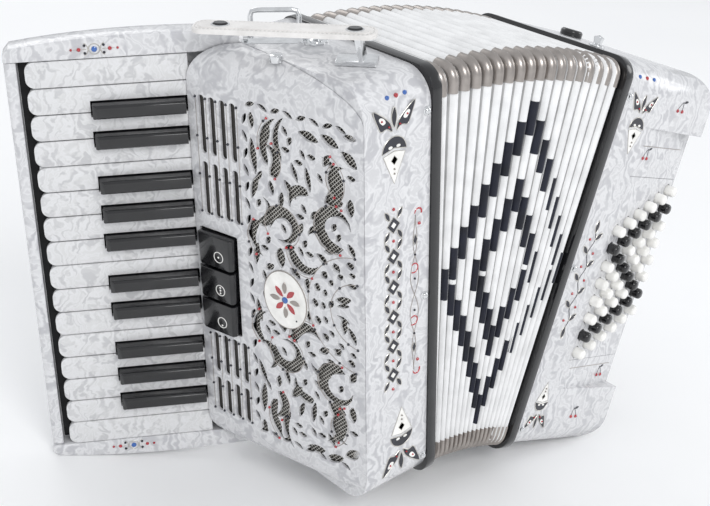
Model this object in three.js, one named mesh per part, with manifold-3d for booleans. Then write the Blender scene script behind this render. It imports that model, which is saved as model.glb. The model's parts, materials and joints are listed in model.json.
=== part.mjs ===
// Piano accordion, 26 treble keys and 48 bass buttons, standing with its bellows fanned open.
// Units are millimetres, +Z is up, +X runs from the treble side to the bass side, -Y is the front.
import * as THREE from 'three';
import { mergeVertices } from 'three/addons/utils/BufferGeometryUtils.js';
import Module from 'manifold-3d';

const wasm = await Module();
wasm.setup();

// ---- driving dimensions ----
const GAP = 0.3; // clearance between pieces that touch
const CASE_H = 309; // height of both casings
const CASE_D = 154; // depth of both casings, front to back
const CASE_R = 14; // corner radius of the bellows and of the casings' backs
const FRONT_R = 22; // corner radius of the casings' fronts
const WALL = 5; // casing wall
const TREBLE_W = 56; // treble casing, from the grille seam to the bellows frame
const BASS_W = 112; // bass casing, from the bellows frame to the outer face
const FRAME_W = 8; // width of a bellows frame
const TREBLE_LEAN = 8; // how far the treble side leans outwards, degrees
const FAN_ANGLE = 21.6; // opening angle of the bellows, degrees
const BASS_X = 88.4; // foot of the bass casing in the treble frame
const BASS_Z = -22;
const FOLDS = 18; // bellows folds
const CORNER_STEPS = 2; // facets of a bellows corner

// ---- keyboard ----
const KEY_PITCH = 18.7; // white keys
const KEY_LENGTH = 103.4; // visible length of a white key
const WHITE_KEYS = 16;
const SEMITONE = KEY_PITCH * 7 / 12; // spacing of the levers
const KEY_TURN = -31.42; // direction of the keys in plan, degrees
const KEY_TIP = new THREE.Vector2(-177.4, 197.9); // where the key tips lie in plan
const KEYS_TOP = 304; // top edge of the first key
const KEYS_BOTTOM = KEYS_TOP - KEY_PITCH * WHITE_KEYS;
const PLATE = 3.5; // thickness of a white key's top
const BLACK_START = 42; // distance of a black key's front from the tips
const BLACK_RISE = 9; // how far a black key stands above the white ones
const BLACK_W = 9.5;
const LEVER_W = 7;
const AXLE_T = 130; // key axle, measured from the tips
const AXLE_D = 6.3; // and below the key surface
const AXLE_R = 1.5;
const BED_TOP = 11.5; // depth of the keyboard bed below the key surface
const BED_BACK = 18;
const RAIL_OUT = -12; // outer edge of the keyboard, beyond the tips
const RAIL_IN = -4; // inner edge of the rail beside the tips
const RAIL_D = 1; // top of the rail, below the key surface
const HEEL = 118; // where the keyboard's back thickens to meet the casing's back
const CAP_RISE = [9, 18, 12]; // height of an end cap at the tips, at its control point and at the casing
const LEVER_START = 3; // front end of a white key's lever
const LEVER_END = 138; // rear end of every lever
const LEVER_D = [3, 9.5]; // top and bottom of a lever, below the key surface
const WHITE_SIDE = 0.45; // half the gap between white keys
const WHITE_TIP = 1; // where the white keys' tips begin
const WHITE_TIP_R = 6; // corner radius of a white key's tip
const BLACK_LOW = 3.4; // how far a black key reaches below the white surface
const PALLET_FACE = -13; // outer face of the treble soundboard
const PALLET_Y = [68, 104]; // pallets, front to back
const PALLET_T = 3.5;
const PALLET_W = 8.5;
const ARM = [[-58, 129], [-56, 134], [-30, 121], [-16, 107], [-16, 70], [-19, 70], [-19, 103], [-32, 116]];
const ARM_W = 4;
const SCALE = ['B', 'C', 'Cs', 'D', 'Ds', 'E', 'F', 'Fs', 'G', 'Gs', 'A', 'As'];
const KEY_COUNT = 26;

// ---- grille ----
const COVER_T = 3; // wall of the grille cover
const COVER_LIFT = 1.5; // clearance over the white keys
const SEAM_X = -TREBLE_W - 2 * GAP; // where the grille meets the casing
const SWITCH_S = [7, 38]; // register switches, along the grille face
const SWITCH_Z = [102, 128, 154];
const SWITCH_H = 24;
const SWITCH_NAMES = ['bassoon', 'master', 'clarinet'];
const SLOT_Z = [[20, 95], [189, 277]]; // slots below and above the switches
const SLOT_COLUMNS = 4;
const SLOT_S = 12; // first slot, along the face
const SLOT_STEP = 8.5;
const SLOT_W = 5;
const PANE = { s0: 54, s1: 142, z0: 22, z1: 274, columns: 3, rows: 6, frame: 6, r: 7 }; // fretted openings
const CUT_DEPTH = 8; // how deep the grille's cutting tools reach
const MESH_BOX = { s0: 50, s1: 141.5, z0: 24, z1: 284, t: 1 }; // grille mesh behind the fretwork

// ---- reeds and soundboards ----
const REED_SECTION = [[0, -18], [32, -10], [32, 10], [0, 18]];
const TREBLE_REEDS = { y: 86, z0: 24, z1: 290 };
const BASS_REEDS = { y: 75, z0: 40, z1: 270 };
const TREBLE_BOARD_T = 5;
const TREBLE_HOLE_Y = [74, 98];
const BASS_BOARD_X = [6, 10];
const BASS_HOLE_Y = [60, 90];
const BASS_HOLE_Z = [60, 100, 140, 180, 220, 260];
const HOLE_HALF = 2.5; // half the height of an air hole

// ---- bellows ----
const BELLOWS_INSET = 2; // how far the ridges lie inside the frames
const BELLOWS_DEPTH = 7; // from ridge to valley
const BELLOWS_SKIN = 2.5; // thickness of the folded card
const FRAME_DEPTH = 12; // depth of a bellows frame's wall
const FRAME_PROUD = 1.2; // how far a frame stands out round the casing

// ---- bass side ----
const PANEL_X = 36; // where the sloped button panel leaves the front face
const PANEL_TURN = 8; // slope of the panel, degrees
const PANEL_LOW = 52; // ledges below and above the panel
const PANEL_HIGH = 264;
const BUTTON_R = 4.2;
const BUTTON_RISE = 8;
const BUTTON_ROWS = ['counter', 'root', 'major', 'minor', 'seventh', 'diminished'];
const BUTTONS_PER_ROW = 8;
const BUTTON_ROW_STEP = 12.6;
const BUTTON_ROW_RISE = 6.8;
const BUTTON_STEP = 14.3;
const BUTTON_FIRST_U = 6.5;
const BUTTON_FIRST_Z = 183;
const BUTTON_IN = 11; // how far a button reaches behind the panel
const BUTTON_EDGE = [1.6, 1.8]; // width and height of a button's bevel
const COUPLER = { half: 2, y0: 10, y1: 13 }; // the strip that joins a row of buttons
const PANEL_WINDOW = { u0: 1, u1: 75, z0: 76, z1: 226 }; // opening in the sloped panel
const PANEL_T = 4; // thickness of the button plate
const SIDE_TOP_R = 20; // upper outer corner of the bass casing
const SIDE_LOW_R = 26; // lower outer corner
const AIR = { r: 5, y: 40, z: 267, out: 7, back: 10, bevel: [1.5, 2] }; // air button on the outer face

// ---- straps and fittings ----
const HAND_STRAP = { y: [84, 138], z: [22, 90, 215, 286], out: 44, innerZ: [46, 100, 205, 262],
  innerOut: 35 };
const WHEEL = { x: 60, y: 112, profile: [[0, 0], [9, 0], [9, 4], [7.5, 5.5], [0, 5.5]] };
const STUD = { x: 12, y: 48, profile: [[0, 0], [6, 0], [6, 2], [3, 3], [4, 8], [0, 9.5]] };
const SCREW = { x: -62, y: 78, profile: [[0, 0], [4.5, 0], [4.5, 5], [0, 5]] };
const LOOP = { width: 32, height: 19, wire: 1.8, bend: 4, turn: -40, x: -38, y: 110, lift: 2.4 };
const STRAP = { length: 118, width: 20, thickness: 3.5, tail: 8, r: 8, turn: -49, x: -24, y: 36 };
const BRACKET = { half: 8, back: 6, height: 19 };
const BRACKET_PROFILE = [[-14, 0], [12, 0], [12, 3], [4, 3], [2, 17], [10, 17], [10, 19], [-2, 19], [1, 3],
  [-14, 3]];

// ---- colours ----
const PEARL = { color: 0xe9e8ea, roughness: 0.25, metalness: 0 };
const BLACK = { color: 0x101010, roughness: 0.2, metalness: 0 };
const CHROME = { color: 0xc8cacc, roughness: 0.15, metalness: 1 };
const WOOD = { color: 0xc9a673, roughness: 0.6, metalness: 0 };
const MESH = { color: 0x3a3836, roughness: 0.8, metalness: 0.2 };
const LEATHER = { color: 0xe4e0dc, roughness: 0.6, metalness: 0 };
const CLOTH = { color: 0xd8d6d6, roughness: 0.8, metalness: 0 };

const radians = THREE.MathUtils.degToRad;

// ---- solids ----
function toManifold(geometry) {
  const bare = geometry.clone();
  bare.deleteAttribute('normal');
  bare.deleteAttribute('uv');
  const merged = mergeVertices(bare, 1e-4);
  const vertProperties = new Float32Array(merged.attributes.position.array);
  const triVerts = new Uint32Array(merged.index.array);
  return new wasm.Manifold(new wasm.Mesh({ numProp: 3, vertProperties, triVerts }));
}

function toGeometry(manifold) {
  const mesh = manifold.getMesh();
  const geometry = new THREE.BufferGeometry();
  geometry.setAttribute('position', new THREE.BufferAttribute(new Float32Array(mesh.vertProperties), 3));
  geometry.setIndex(new THREE.BufferAttribute(new Uint32Array(mesh.triVerts), 1));
  const flat = geometry.toNonIndexed();
  flat.computeVertexNormals();
  return flat;
}

function join(...geometries) {
  const solids = geometries.map(toManifold);
  return toGeometry(solids.reduce((a, b) => a.add(b)));
}

function cut(geometry, ...tools) {
  return toGeometry(tools.map(toManifold).reduce((a, b) => a.subtract(b), toManifold(geometry)));
}

function common(a, b) {
  return toGeometry(toManifold(a).intersect(toManifold(b)));
}

// ---- outlines and extrusions ----
function polygon(points) {
  return new THREE.Shape(points.map(([x, y]) => new THREE.Vector2(x, y)));
}

function roundedRect(x0, y0, x1, y1, r) {
  const shape = new THREE.Shape();
  shape.moveTo(x0 + r, y0);
  shape.lineTo(x1 - r, y0);
  shape.absarc(x1 - r, y0 + r, r, -Math.PI / 2, 0, false);
  shape.lineTo(x1, y1 - r);
  shape.absarc(x1 - r, y1 - r, r, 0, Math.PI / 2, false);
  shape.lineTo(x0 + r, y1);
  shape.absarc(x0 + r, y1 - r, r, Math.PI / 2, Math.PI, false);
  shape.lineTo(x0, y0 + r);
  shape.absarc(x0 + r, y0 + r, r, Math.PI, Math.PI * 1.5, false);
  return shape;
}

// the section of a casing in (y, z), drawn in by inset, with rounder corners at the front
function casingSection(inset) {
  const front = FRONT_R - inset;
  const back = CASE_R - inset;
  const far = CASE_D - inset;
  const high = CASE_H - inset;
  const shape = new THREE.Shape();
  shape.moveTo(inset + front, inset);
  shape.lineTo(far - back, inset);
  shape.absarc(far - back, inset + back, back, -Math.PI / 2, 0, false);
  shape.lineTo(far, high - back);
  shape.absarc(far - back, high - back, back, 0, Math.PI / 2, false);
  shape.lineTo(inset + front, high);
  shape.absarc(inset + front, high - front, front, Math.PI / 2, Math.PI, false);
  shape.lineTo(inset, inset + front);
  shape.absarc(inset + front, inset + front, front, Math.PI, Math.PI * 1.5, false);
  return shape;
}

function roundHole(x, y, r) {
  const corners = [0, 1, 2, 3, 4, 5].map((k) => k * Math.PI / 3);
  return new THREE.Path(corners.map((a) => new THREE.Vector2(x + r * Math.cos(a), y + r * Math.sin(a))));
}

function extrude(shape, depth, curveSegments = 6) {
  return new THREE.ExtrudeGeometry(shape, { depth, bevelEnabled: false, curveSegments });
}

// an outline drawn in plan, standing from z0 to z1
function standing(shape, z0, z1, curveSegments) {
  return extrude(shape, z1 - z0, curveSegments).translate(0, 0, z0);
}

// an outline drawn in (y, z), running from x0 to x1
function alongX(shape, x0, x1, curveSegments) {
  const turn = new THREE.Matrix4().makeBasis(
    new THREE.Vector3(0, 1, 0), new THREE.Vector3(0, 0, 1), new THREE.Vector3(1, 0, 0));
  return extrude(shape, x1 - x0, curveSegments).applyMatrix4(turn).translate(x0, 0, 0);
}

// an outline drawn in (x, z), running from y0 to y1
function alongY(shape, y0, y1, curveSegments) {
  const turn = new THREE.Matrix4().makeBasis(
    new THREE.Vector3(1, 0, 0), new THREE.Vector3(0, 0, 1), new THREE.Vector3(0, -1, 0));
  return extrude(shape, y1 - y0, curveSegments).applyMatrix4(turn).translate(0, y1, 0);
}

function box(x0, y0, z0, x1, y1, z1) {
  const geometry = new THREE.BoxGeometry(x1 - x0, y1 - y0, z1 - z0);
  return geometry.translate((x0 + x1) / 2, (y0 + y1) / 2, (z0 + z1) / 2);
}

// a turned piece whose profile lists [radius, height] from the bottom up
function turned(profile, sides) {
  const points = profile.map(([r, h]) => new THREE.Vector2(r, h));
  return new THREE.LatheGeometry(points, sides).rotateX(Math.PI / 2);
}

function named(name, geometry, finish) {
  const solid = toGeometry(toManifold(geometry));
  const mesh = new THREE.Mesh(solid, new THREE.MeshStandardMaterial(finish));
  mesh.name = name;
  return mesh;
}

// ---- the three frames ----
const accordion = new THREE.Group();
const treble = new THREE.Group();
treble.rotation.y = -radians(TREBLE_LEAN);
accordion.add(treble);

const keyboard = new THREE.Group();
keyboard.position.set(KEY_TIP.x, KEY_TIP.y, 0);
keyboard.rotation.z = radians(KEY_TURN);
treble.add(keyboard);

const bass = new THREE.Group();
bass.position.set(BASS_X, 0, BASS_Z);
bass.rotation.y = radians(FAN_ANGLE);
treble.add(bass);

// plan position in the treble frame, as distance from the key tips and depth below the keys
function toKeys([x, y]) {
  const p = new THREE.Vector2(x, y).sub(KEY_TIP);
  p.rotateAround(new THREE.Vector2(), -radians(KEY_TURN));
  return [p.x, p.y];
}

function fromKeys([t, d]) {
  const p = new THREE.Vector2(t, d).rotateAround(new THREE.Vector2(), radians(KEY_TURN));
  return [p.x + KEY_TIP.x, p.y + KEY_TIP.y];
}

// where the line at depth d below the keys meets the plane x, as distance from the tips
function keyLineAt(x, d) {
  const angle = radians(KEY_TURN);
  return (x - KEY_TIP.x + d * Math.sin(angle)) / Math.cos(angle);
}

// ---- keys ----
function leverZ(semitone) {
  return KEYS_TOP - KEY_PITCH - (semitone + 0.5) * SEMITONE;
}

const keys = [];
for (let i = 0; i < KEY_COUNT; i += 1) {
  const note = SCALE[i % SCALE.length];
  keys.push({ note, semitone: i - 1, black: note.endsWith('s'), octave: Math.floor((i + 11) / 12) });
}
const whites = keys.filter((key) => !key.black);
const blacks = keys.filter((key) => key.black);

// one lever with its arm and pallet; the lever tapers from LEVER_BELLY towards its front end
const LEVER_BELLY = 100;
const LEVER_TAPER = [6, 0.035];

function leverSolid(start, z) {
  const [top, low] = LEVER_D;
  const frontLow = LEVER_TAPER[0] + start * LEVER_TAPER[1];
  const lever = polygon([[start, top], [LEVER_END, top], [LEVER_END, low], [LEVER_BELLY, low],
    [start, frontLow]]);
  lever.holes.push(roundHole(AXLE_T, AXLE_D, AXLE_R + 2 * GAP));
  const arm = polygon(ARM.map(toKeys));
  const x0 = PALLET_FACE - PALLET_T;
  const x1 = PALLET_FACE - GAP;
  const [y0, y1] = PALLET_Y;
  const pallet = polygon([[x0, y0], [x1, y0], [x1, y1], [x0, y1]].map(toKeys));
  return join(
    standing(lever, z - LEVER_W / 2, z + LEVER_W / 2, 3),
    standing(arm, z - ARM_W / 2, z + ARM_W / 2),
    standing(pallet, z - PALLET_W / 2, z + PALLET_W / 2),
  );
}

// the top of a white key, with room for the black keys beside it
function whitePlate(index) {
  const high = KEYS_TOP - index * KEY_PITCH - WHITE_SIDE;
  const low = high - KEY_PITCH + 2 * WHITE_SIDE;
  const notch = BLACK_W / 2 + 1;
  const shoulder = BLACK_START - 1.2;
  const end = KEY_LENGTH + 3;
  const near = blacks.map((key) => leverZ(key.semitone));
  const cutHigh = near.find((z) => Math.abs(z - high) < KEY_PITCH / 2);
  const cutLow = near.find((z) => Math.abs(z - low) < KEY_PITCH / 2);
  const tailHigh = cutHigh === undefined ? high : cutHigh - notch;
  const tailLow = cutLow === undefined ? low : cutLow + notch;
  const r = WHITE_TIP_R;
  const tip = WHITE_TIP + r;
  const shape = new THREE.Shape();
  shape.moveTo(tip, low);
  shape.lineTo(shoulder, low);
  if (tailLow !== low) shape.lineTo(shoulder, tailLow);
  shape.lineTo(end, tailLow);
  shape.lineTo(end, tailHigh);
  if (tailHigh !== high) shape.lineTo(shoulder, tailHigh);
  shape.lineTo(shoulder, high);
  shape.lineTo(tip, high);
  shape.absarc(tip, high - r, r, Math.PI / 2, Math.PI, false);
  shape.lineTo(WHITE_TIP, low + r);
  shape.absarc(tip, low + r, r, Math.PI, Math.PI * 1.5, false);
  return alongY(shape, 0, PLATE, 3);
}

function blackCap(z) {
  const profile = polygon([[BLACK_START, BLACK_LOW], [BLACK_START, -6.5], [BLACK_START + 3, -BLACK_RISE],
    [KEY_LENGTH, -BLACK_RISE], [KEY_LENGTH, BLACK_LOW]]);
  const half = BLACK_W / 2;
  const section = polygon([[BLACK_LOW, z - half], [BLACK_LOW, z + half], [-7.5, z + half],
    [-BLACK_RISE, z + half - 1.3], [-BLACK_RISE, z - half + 1.3], [-7.5, z - half]]);
  return common(standing(profile, z - half, z + half), alongX(section, BLACK_START - 1, KEY_LENGTH + 1));
}

whites.forEach((key, index) => {
  const solid = join(whitePlate(index), leverSolid(LEVER_START, leverZ(key.semitone)));
  keyboard.add(named(`key_white_${key.note}${key.octave}`, solid, PEARL));
});
blacks.forEach((key) => {
  const z = leverZ(key.semitone);
  const solid = join(blackCap(z), leverSolid(BLACK_START + 1, z));
  keyboard.add(named(`key_black_${key.note}${key.octave}`, solid, BLACK));
});

const axle = new THREE.CylinderGeometry(AXLE_R, AXLE_R, KEYS_TOP - KEYS_BOTTOM, 10).rotateX(Math.PI / 2);
axle.translate(AXLE_T, AXLE_D, (KEYS_TOP + KEYS_BOTTOM) / 2);
keyboard.add(named('key_axle', axle, CHROME));

// ---- keyboard body ----
const bedBack = [[RAIL_OUT, BED_BACK - 2.5], [RAIL_OUT + 4, BED_BACK], [HEEL, BED_BACK],
  toKeys([SEAM_X, CASE_D])];
const bedPlan = polygon([[RAIL_OUT, BED_TOP], ...bedBack, [keyLineAt(SEAM_X, BED_TOP), BED_TOP]]);
keyboard.add(named('keyboard_bed', standing(bedPlan, KEYS_BOTTOM + GAP, KEYS_TOP - GAP), PEARL));

const railPlan = polygon([[RAIL_OUT, RAIL_D + 2], [RAIL_OUT + 2, RAIL_D], [RAIL_IN, RAIL_D],
  [RAIL_IN, BED_TOP - GAP], [RAIL_OUT, BED_TOP - GAP]]);
keyboard.add(named('keyboard_rail', standing(railPlan, KEYS_BOTTOM + GAP, KEYS_TOP - GAP), PEARL));

function endCap(base, up) {
  const end = keyLineAt(SEAM_X, 0);
  const far = end + 20;
  const arch = new THREE.Shape();
  arch.moveTo(RAIL_OUT, base);
  arch.lineTo(far, base);
  arch.lineTo(far, base + up * CAP_RISE[2]);
  arch.lineTo(end, base + up * CAP_RISE[2]);
  arch.quadraticCurveTo(end * 0.4, base + up * CAP_RISE[1], RAIL_OUT + 4, base + up * CAP_RISE[0]);
  arch.lineTo(RAIL_OUT, base + up * (CAP_RISE[0] - 4));
  const plan = polygon([[RAIL_OUT, 0], ...bedBack, [end, 0]]);
  return common(alongY(arch, -1, BED_BACK + 20, 10), standing(plan, -50, CASE_H + 50));
}

keyboard.add(named('keyboard_end_cap_top', endCap(KEYS_TOP + GAP, 1), PEARL));
keyboard.add(named('keyboard_end_cap_bottom', endCap(KEYS_BOTTOM - GAP, -1), PEARL));

// ---- treble casing and grille ----
const caseOuter = casingSection(0);
caseOuter.holes.push(casingSection(WALL));
treble.add(named('treble_casing', alongX(caseOuter, -TREBLE_W, -GAP, 6), PEARL));

const ROOT = fromKeys([KEY_LENGTH, 0]); // where the keys go in under the grille
const FACE_LENGTH = Math.hypot(ROOT[0] - SEAM_X, ROOT[1]);
const grille = new THREE.Group();
grille.position.set(ROOT[0], ROOT[1], 0);
const FACE_TURN = Math.atan2(-ROOT[1], SEAM_X - ROOT[0]);
grille.rotation.z = FACE_TURN;
treble.add(grille);

// plan position in the treble frame, as distance along the grille face and depth behind it
function toFace([x, y]) {
  const p = new THREE.Vector2(x - ROOT[0], y - ROOT[1]).rotateAround(new THREE.Vector2(), -FACE_TURN);
  return [p.x, p.y];
}

function coverSlots() {
  const tools = [];
  SLOT_Z.forEach(([z0, z1]) => {
    for (let i = 0; i < SLOT_COLUMNS; i += 1) {
      const s = SLOT_S + SLOT_STEP * i;
      tools.push(box(s, -1, z0, s + SLOT_W, CUT_DEPTH, z1));
    }
  });
  const switchesTop = SWITCH_Z[SWITCH_Z.length - 1] + SWITCH_H;
  tools.push(box(SWITCH_S[0] - 1, -1, SWITCH_Z[0] - 1, SWITCH_S[1] + 1, CUT_DEPTH, switchesTop + 1));
  const stepS = (PANE.s1 - PANE.s0) / PANE.columns;
  const stepZ = (PANE.z1 - PANE.z0) / PANE.rows;
  for (let column = 0; column < PANE.columns; column += 1) {
    for (let row = 0; row < PANE.rows; row += 1) {
      const s = PANE.s0 + stepS * column;
      const z = PANE.z0 + stepZ * row;
      const shape = roundedRect(s + PANE.frame / 2, z + PANE.frame / 2,
        s + stepS - PANE.frame / 2, z + stepZ - PANE.frame / 2, PANE.r);
      tools.push(alongY(shape, -1, CUT_DEPTH, 2));
    }
  }
  return tools;
}

function coverSolid() {
  const rear = keyLineAt(SEAM_X, -COVER_LIFT);
  const lip = fromKeys([KEY_LENGTH + COVER_LIFT, -COVER_LIFT]);
  const outerPlan = [[SEAM_X, 0], lip, fromKeys([rear, -COVER_LIFT])].map(toFace);
  const innerPlan = [[-40, COVER_T], [FACE_LENGTH + 40, COVER_T], [FACE_LENGTH + 40, 200], [-40, 200]];
  const outer = common(
    standing(polygon(outerPlan), 0, CASE_H),
    alongX(roundedRect(0, 0, 300, CASE_H, FRONT_R), -20, FACE_LENGTH + 20, 6),
  );
  const inner = common(
    standing(polygon(innerPlan), COVER_T, CASE_H - COVER_T),
    alongX(roundedRect(COVER_T, COVER_T, 290, CASE_H - COVER_T, FRONT_R - COVER_T),
      -60, FACE_LENGTH + 60, 6),
  );
  return cut(outer, inner, ...coverSlots());
}

grille.add(named('grille_cover', coverSolid(), PEARL));
const meshFront = COVER_T + GAP;
grille.add(named('grille_mesh',
  box(MESH_BOX.s0, meshFront, MESH_BOX.z0, MESH_BOX.s1, meshFront + MESH_BOX.t, MESH_BOX.z1), MESH));

SWITCH_Z.forEach((z, i) => {
  const outline = polygon([[SWITCH_S[0], -4], [SWITCH_S[0] + 3, -6], [SWITCH_S[1] - 2, -6], [SWITCH_S[1], -4],
    [SWITCH_S[1], 4], [SWITCH_S[0] + 3, 4], [SWITCH_S[0], 1]]);
  grille.add(named(`register_switch_${SWITCH_NAMES[i]}`, standing(outline, z, z + SWITCH_H), BLACK));
});

// ---- treble soundboard and reeds ----
function soundboard(x0, x1, holeY, holes) {
  const plate = casingSection(WALL + GAP);
  holes.forEach((z) => {
    const low = z - HOLE_HALF;
    const high = z + HOLE_HALF;
    plate.holes.push(polygon([[holeY[0], low], [holeY[1], low], [holeY[1], high], [holeY[0], high]]));
  });
  return alongX(plate, x0, x1, 3);
}

const trebleHoles = keys.map((key) => leverZ(key.semitone));
treble.add(named('treble_soundboard',
  soundboard(PALLET_FACE, PALLET_FACE + TREBLE_BOARD_T, TREBLE_HOLE_Y, trebleHoles), WOOD));

function reedBlock(x, y, z0, z1) {
  return standing(polygon(REED_SECTION.map(([dx, dy]) => [x + dx, y + dy])), z0, z1);
}
treble.add(named('treble_reed_block',
  reedBlock(PALLET_FACE + TREBLE_BOARD_T + GAP, TREBLE_REEDS.y, TREBLE_REEDS.z0, TREBLE_REEDS.z1), WOOD));

// ---- bellows and their frames ----
function frameRing(x0, x1) {
  const ring = roundedRect(-FRAME_PROUD, -FRAME_PROUD, CASE_D + FRAME_PROUD, CASE_H + FRAME_PROUD,
    CASE_R + FRAME_PROUD);
  ring.holes.push(roundedRect(FRAME_DEPTH, FRAME_DEPTH, CASE_D - FRAME_DEPTH, CASE_H - FRAME_DEPTH, 4));
  return alongX(ring, x0, x1, 4);
}

treble.add(named('treble_bellows_frame', frameRing(0, FRAME_W), BLACK));
bass.add(named('bass_bellows_frame', frameRing(-FRAME_W, 0), BLACK));

// the fan's apex: both frames' inner faces meet there when extended downwards
function fanApex() {
  const angle = radians(FAN_ANGLE);
  const foot = new THREE.Vector2(BASS_X - FRAME_W * Math.cos(angle), BASS_Z + FRAME_W * Math.sin(angle));
  const down = (FRAME_W - foot.x) / Math.sin(angle);
  const apex = new THREE.Vector2(FRAME_W, foot.y + down * Math.cos(angle));
  return { apex, start: -apex.y, end: foot.distanceTo(apex) };
}

function bellowsSolid() {
  const { apex, start, end } = fanApex();
  const rings = FOLDS * 2 + 1;
  const ringPoints = (inset) => {
    const points = [];
    const r = CASE_R - inset * 0.4;
    for (let corner = 0; corner < 4; corner += 1) {
      const y = corner === 0 || corner === 3 ? CASE_D - inset - r : inset + r;
      const z = corner < 2 ? CASE_H - inset - r : inset + r;
      for (let step = 0; step <= CORNER_STEPS; step += 1) {
        const angle = (corner + step / CORNER_STEPS) * Math.PI / 2;
        points.push(new THREE.Vector2(y + r * Math.cos(angle), z + r * Math.sin(angle)));
      }
    }
    return points;
  };
  const count = ringPoints(BELLOWS_INSET).length;
  const positions = [];
  const addRing = (k, inset) => {
    const share = k / (rings - 1);
    const edge = GAP / end;
    const angle = edge + share * (radians(FAN_ANGLE) - 2 * edge);
    const radius = start + (end - start) * share;
    ringPoints(inset).forEach((p) => {
      const r = radius + p.y;
      positions.push(apex.x + r * Math.sin(angle), p.x, apex.y + r * Math.cos(angle));
    });
  };
  [0, BELLOWS_SKIN].forEach((skin) => {
    for (let k = 0; k < rings; k += 1) {
      addRing(k, BELLOWS_INSET + skin + (k % 2 === 0 ? BELLOWS_DEPTH : 0));
    }
  });
  const index = [];
  const quad = (a, b, c, d) => index.push(a, b, c, a, c, d);
  for (let j = 0; j < count; j += 1) {
    const n = (j + 1) % count;
    for (let k = 0; k < rings - 1; k += 1) {
      const outer = k * count;
      const inner = (rings + k) * count;
      quad(outer + j, outer + n, outer + count + n, outer + count + j);
      quad(inner + j, inner + count + j, inner + count + n, inner + n);
    }
    const last = (rings - 1) * count;
    const lastInner = (2 * rings - 1) * count;
    quad(j, rings * count + j, rings * count + n, n);
    quad(last + j, last + n, lastInner + n, lastInner + j);
  }
  const geometry = new THREE.BufferGeometry();
  geometry.setAttribute('position', new THREE.Float32BufferAttribute(positions, 3));
  geometry.setIndex(index);
  return geometry;
}

treble.add(named('bellows', bellowsSolid(), CLOTH));

// ---- bass casing ----
const SLOPE = Math.tan(radians(PANEL_TURN));
const panelY = (x) => (x - PANEL_X) * SLOPE;

// a frame on the sloped panel: +X along the slope, +Y into the casing
const panelFrame = new THREE.Group();
panelFrame.position.set(PANEL_X, 0, 0);
panelFrame.rotation.z = radians(PANEL_TURN);
bass.add(panelFrame);

function bassCasingSolid() {
  const side = new THREE.Shape();
  const topR = SIDE_TOP_R;
  const lowR = SIDE_LOW_R;
  side.moveTo(GAP, 0);
  side.lineTo(BASS_W - lowR, 0);
  side.absarc(BASS_W - lowR, lowR, lowR, -Math.PI / 2, 0, false);
  side.lineTo(BASS_W, CASE_H - topR);
  side.absarc(BASS_W - topR, CASE_H - topR, topR, 0, Math.PI / 2, false);
  side.lineTo(GAP, CASE_H);
  const outer = common(
    alongX(casingSection(0), GAP, BASS_W, 6),
    alongY(side, -1, CASE_D + 1, 6),
  );
  const far = BASS_W + 2;
  const recess = standing(polygon([[PANEL_X, -0.01], [far, panelY(far)], [far, -5], [PANEL_X, -5]]),
    PANEL_LOW, PANEL_HIGH);
  const inX = BASS_W - WALL;
  const hollow = common(
    standing(polygon([[-1, WALL], [PANEL_X, WALL], [inX, panelY(inX) + WALL], [inX, CASE_D - WALL],
      [-1, CASE_D - WALL]]), WALL, CASE_H - WALL),
    alongY(roundedRect(-50, WALL, inX, CASE_H - WALL, CASE_R), -1, CASE_D + 1, 3),
  );
  const cavity = common(hollow, alongX(casingSection(WALL), -1, inX + 1));
  const { u0, u1, z0, z1 } = PANEL_WINDOW;
  const window = box(u0, -3, z0, u1, 20, z1).rotateZ(radians(PANEL_TURN)).translate(PANEL_X, 0, 0);
  const airHole = new THREE.CylinderGeometry(AIR.r + 1, AIR.r + 1, 20, 12).rotateZ(Math.PI / 2);
  return cut(outer, recess, cavity, window, airHole.translate(BASS_W, AIR.y, AIR.z));
}

bass.add(named('bass_casing', bassCasingSolid(), PEARL));

const buttonAt = (row, i) => [BUTTON_FIRST_U + BUTTON_ROW_STEP * row,
  BUTTON_FIRST_Z - BUTTON_STEP * i + BUTTON_ROW_RISE * row];

function buttonPanel() {
  const { u0, u1, z0, z1 } = PANEL_WINDOW;
  const plate = roundedRect(u0 + GAP, z0 + GAP, u1 - GAP, z1 - GAP, 1);
  const holes = [];
  BUTTON_ROWS.forEach((_, row) => {
    for (let i = 0; i < BUTTONS_PER_ROW; i += 1) {
      const [u, z] = buttonAt(row, i);
      holes.push(new THREE.CylinderGeometry(BUTTON_R + 1, BUTTON_R + 1, 4 * PANEL_T, 6).translate(u, 0, z));
    }
  });
  return cut(alongY(plate, 0, PANEL_T, 3), ...holes);
}

panelFrame.add(named('bass_button_panel', buttonPanel(), PEARL));

const BUTTON_PROFILE = [[0, -BUTTON_RISE], [BUTTON_R - BUTTON_EDGE[0], -BUTTON_RISE],
  [BUTTON_R, -BUTTON_RISE + BUTTON_EDGE[1]], [BUTTON_R, BUTTON_IN], [0, BUTTON_IN]];

function buttonRow(row) {
  const pieces = [];
  for (let i = 0; i < BUTTONS_PER_ROW; i += 1) {
    const [u, z] = buttonAt(row, i);
    const points = BUTTON_PROFILE.map(([r, h]) => new THREE.Vector2(r, h));
    pieces.push(new THREE.LatheGeometry(points, 6).translate(u, 0, z));
  }
  const [u, zTop] = buttonAt(row, 0);
  const zLow = zTop - BUTTON_STEP * (BUTTONS_PER_ROW - 1);
  pieces.push(box(u - COUPLER.half, COUPLER.y0, zLow, u + COUPLER.half, COUPLER.y1, zTop));
  return join(...pieces);
}

BUTTON_ROWS.forEach((name, row) => {
  panelFrame.add(named(`bass_buttons_${name}`, buttonRow(row), row === 1 ? BLACK : PEARL));
});

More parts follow.
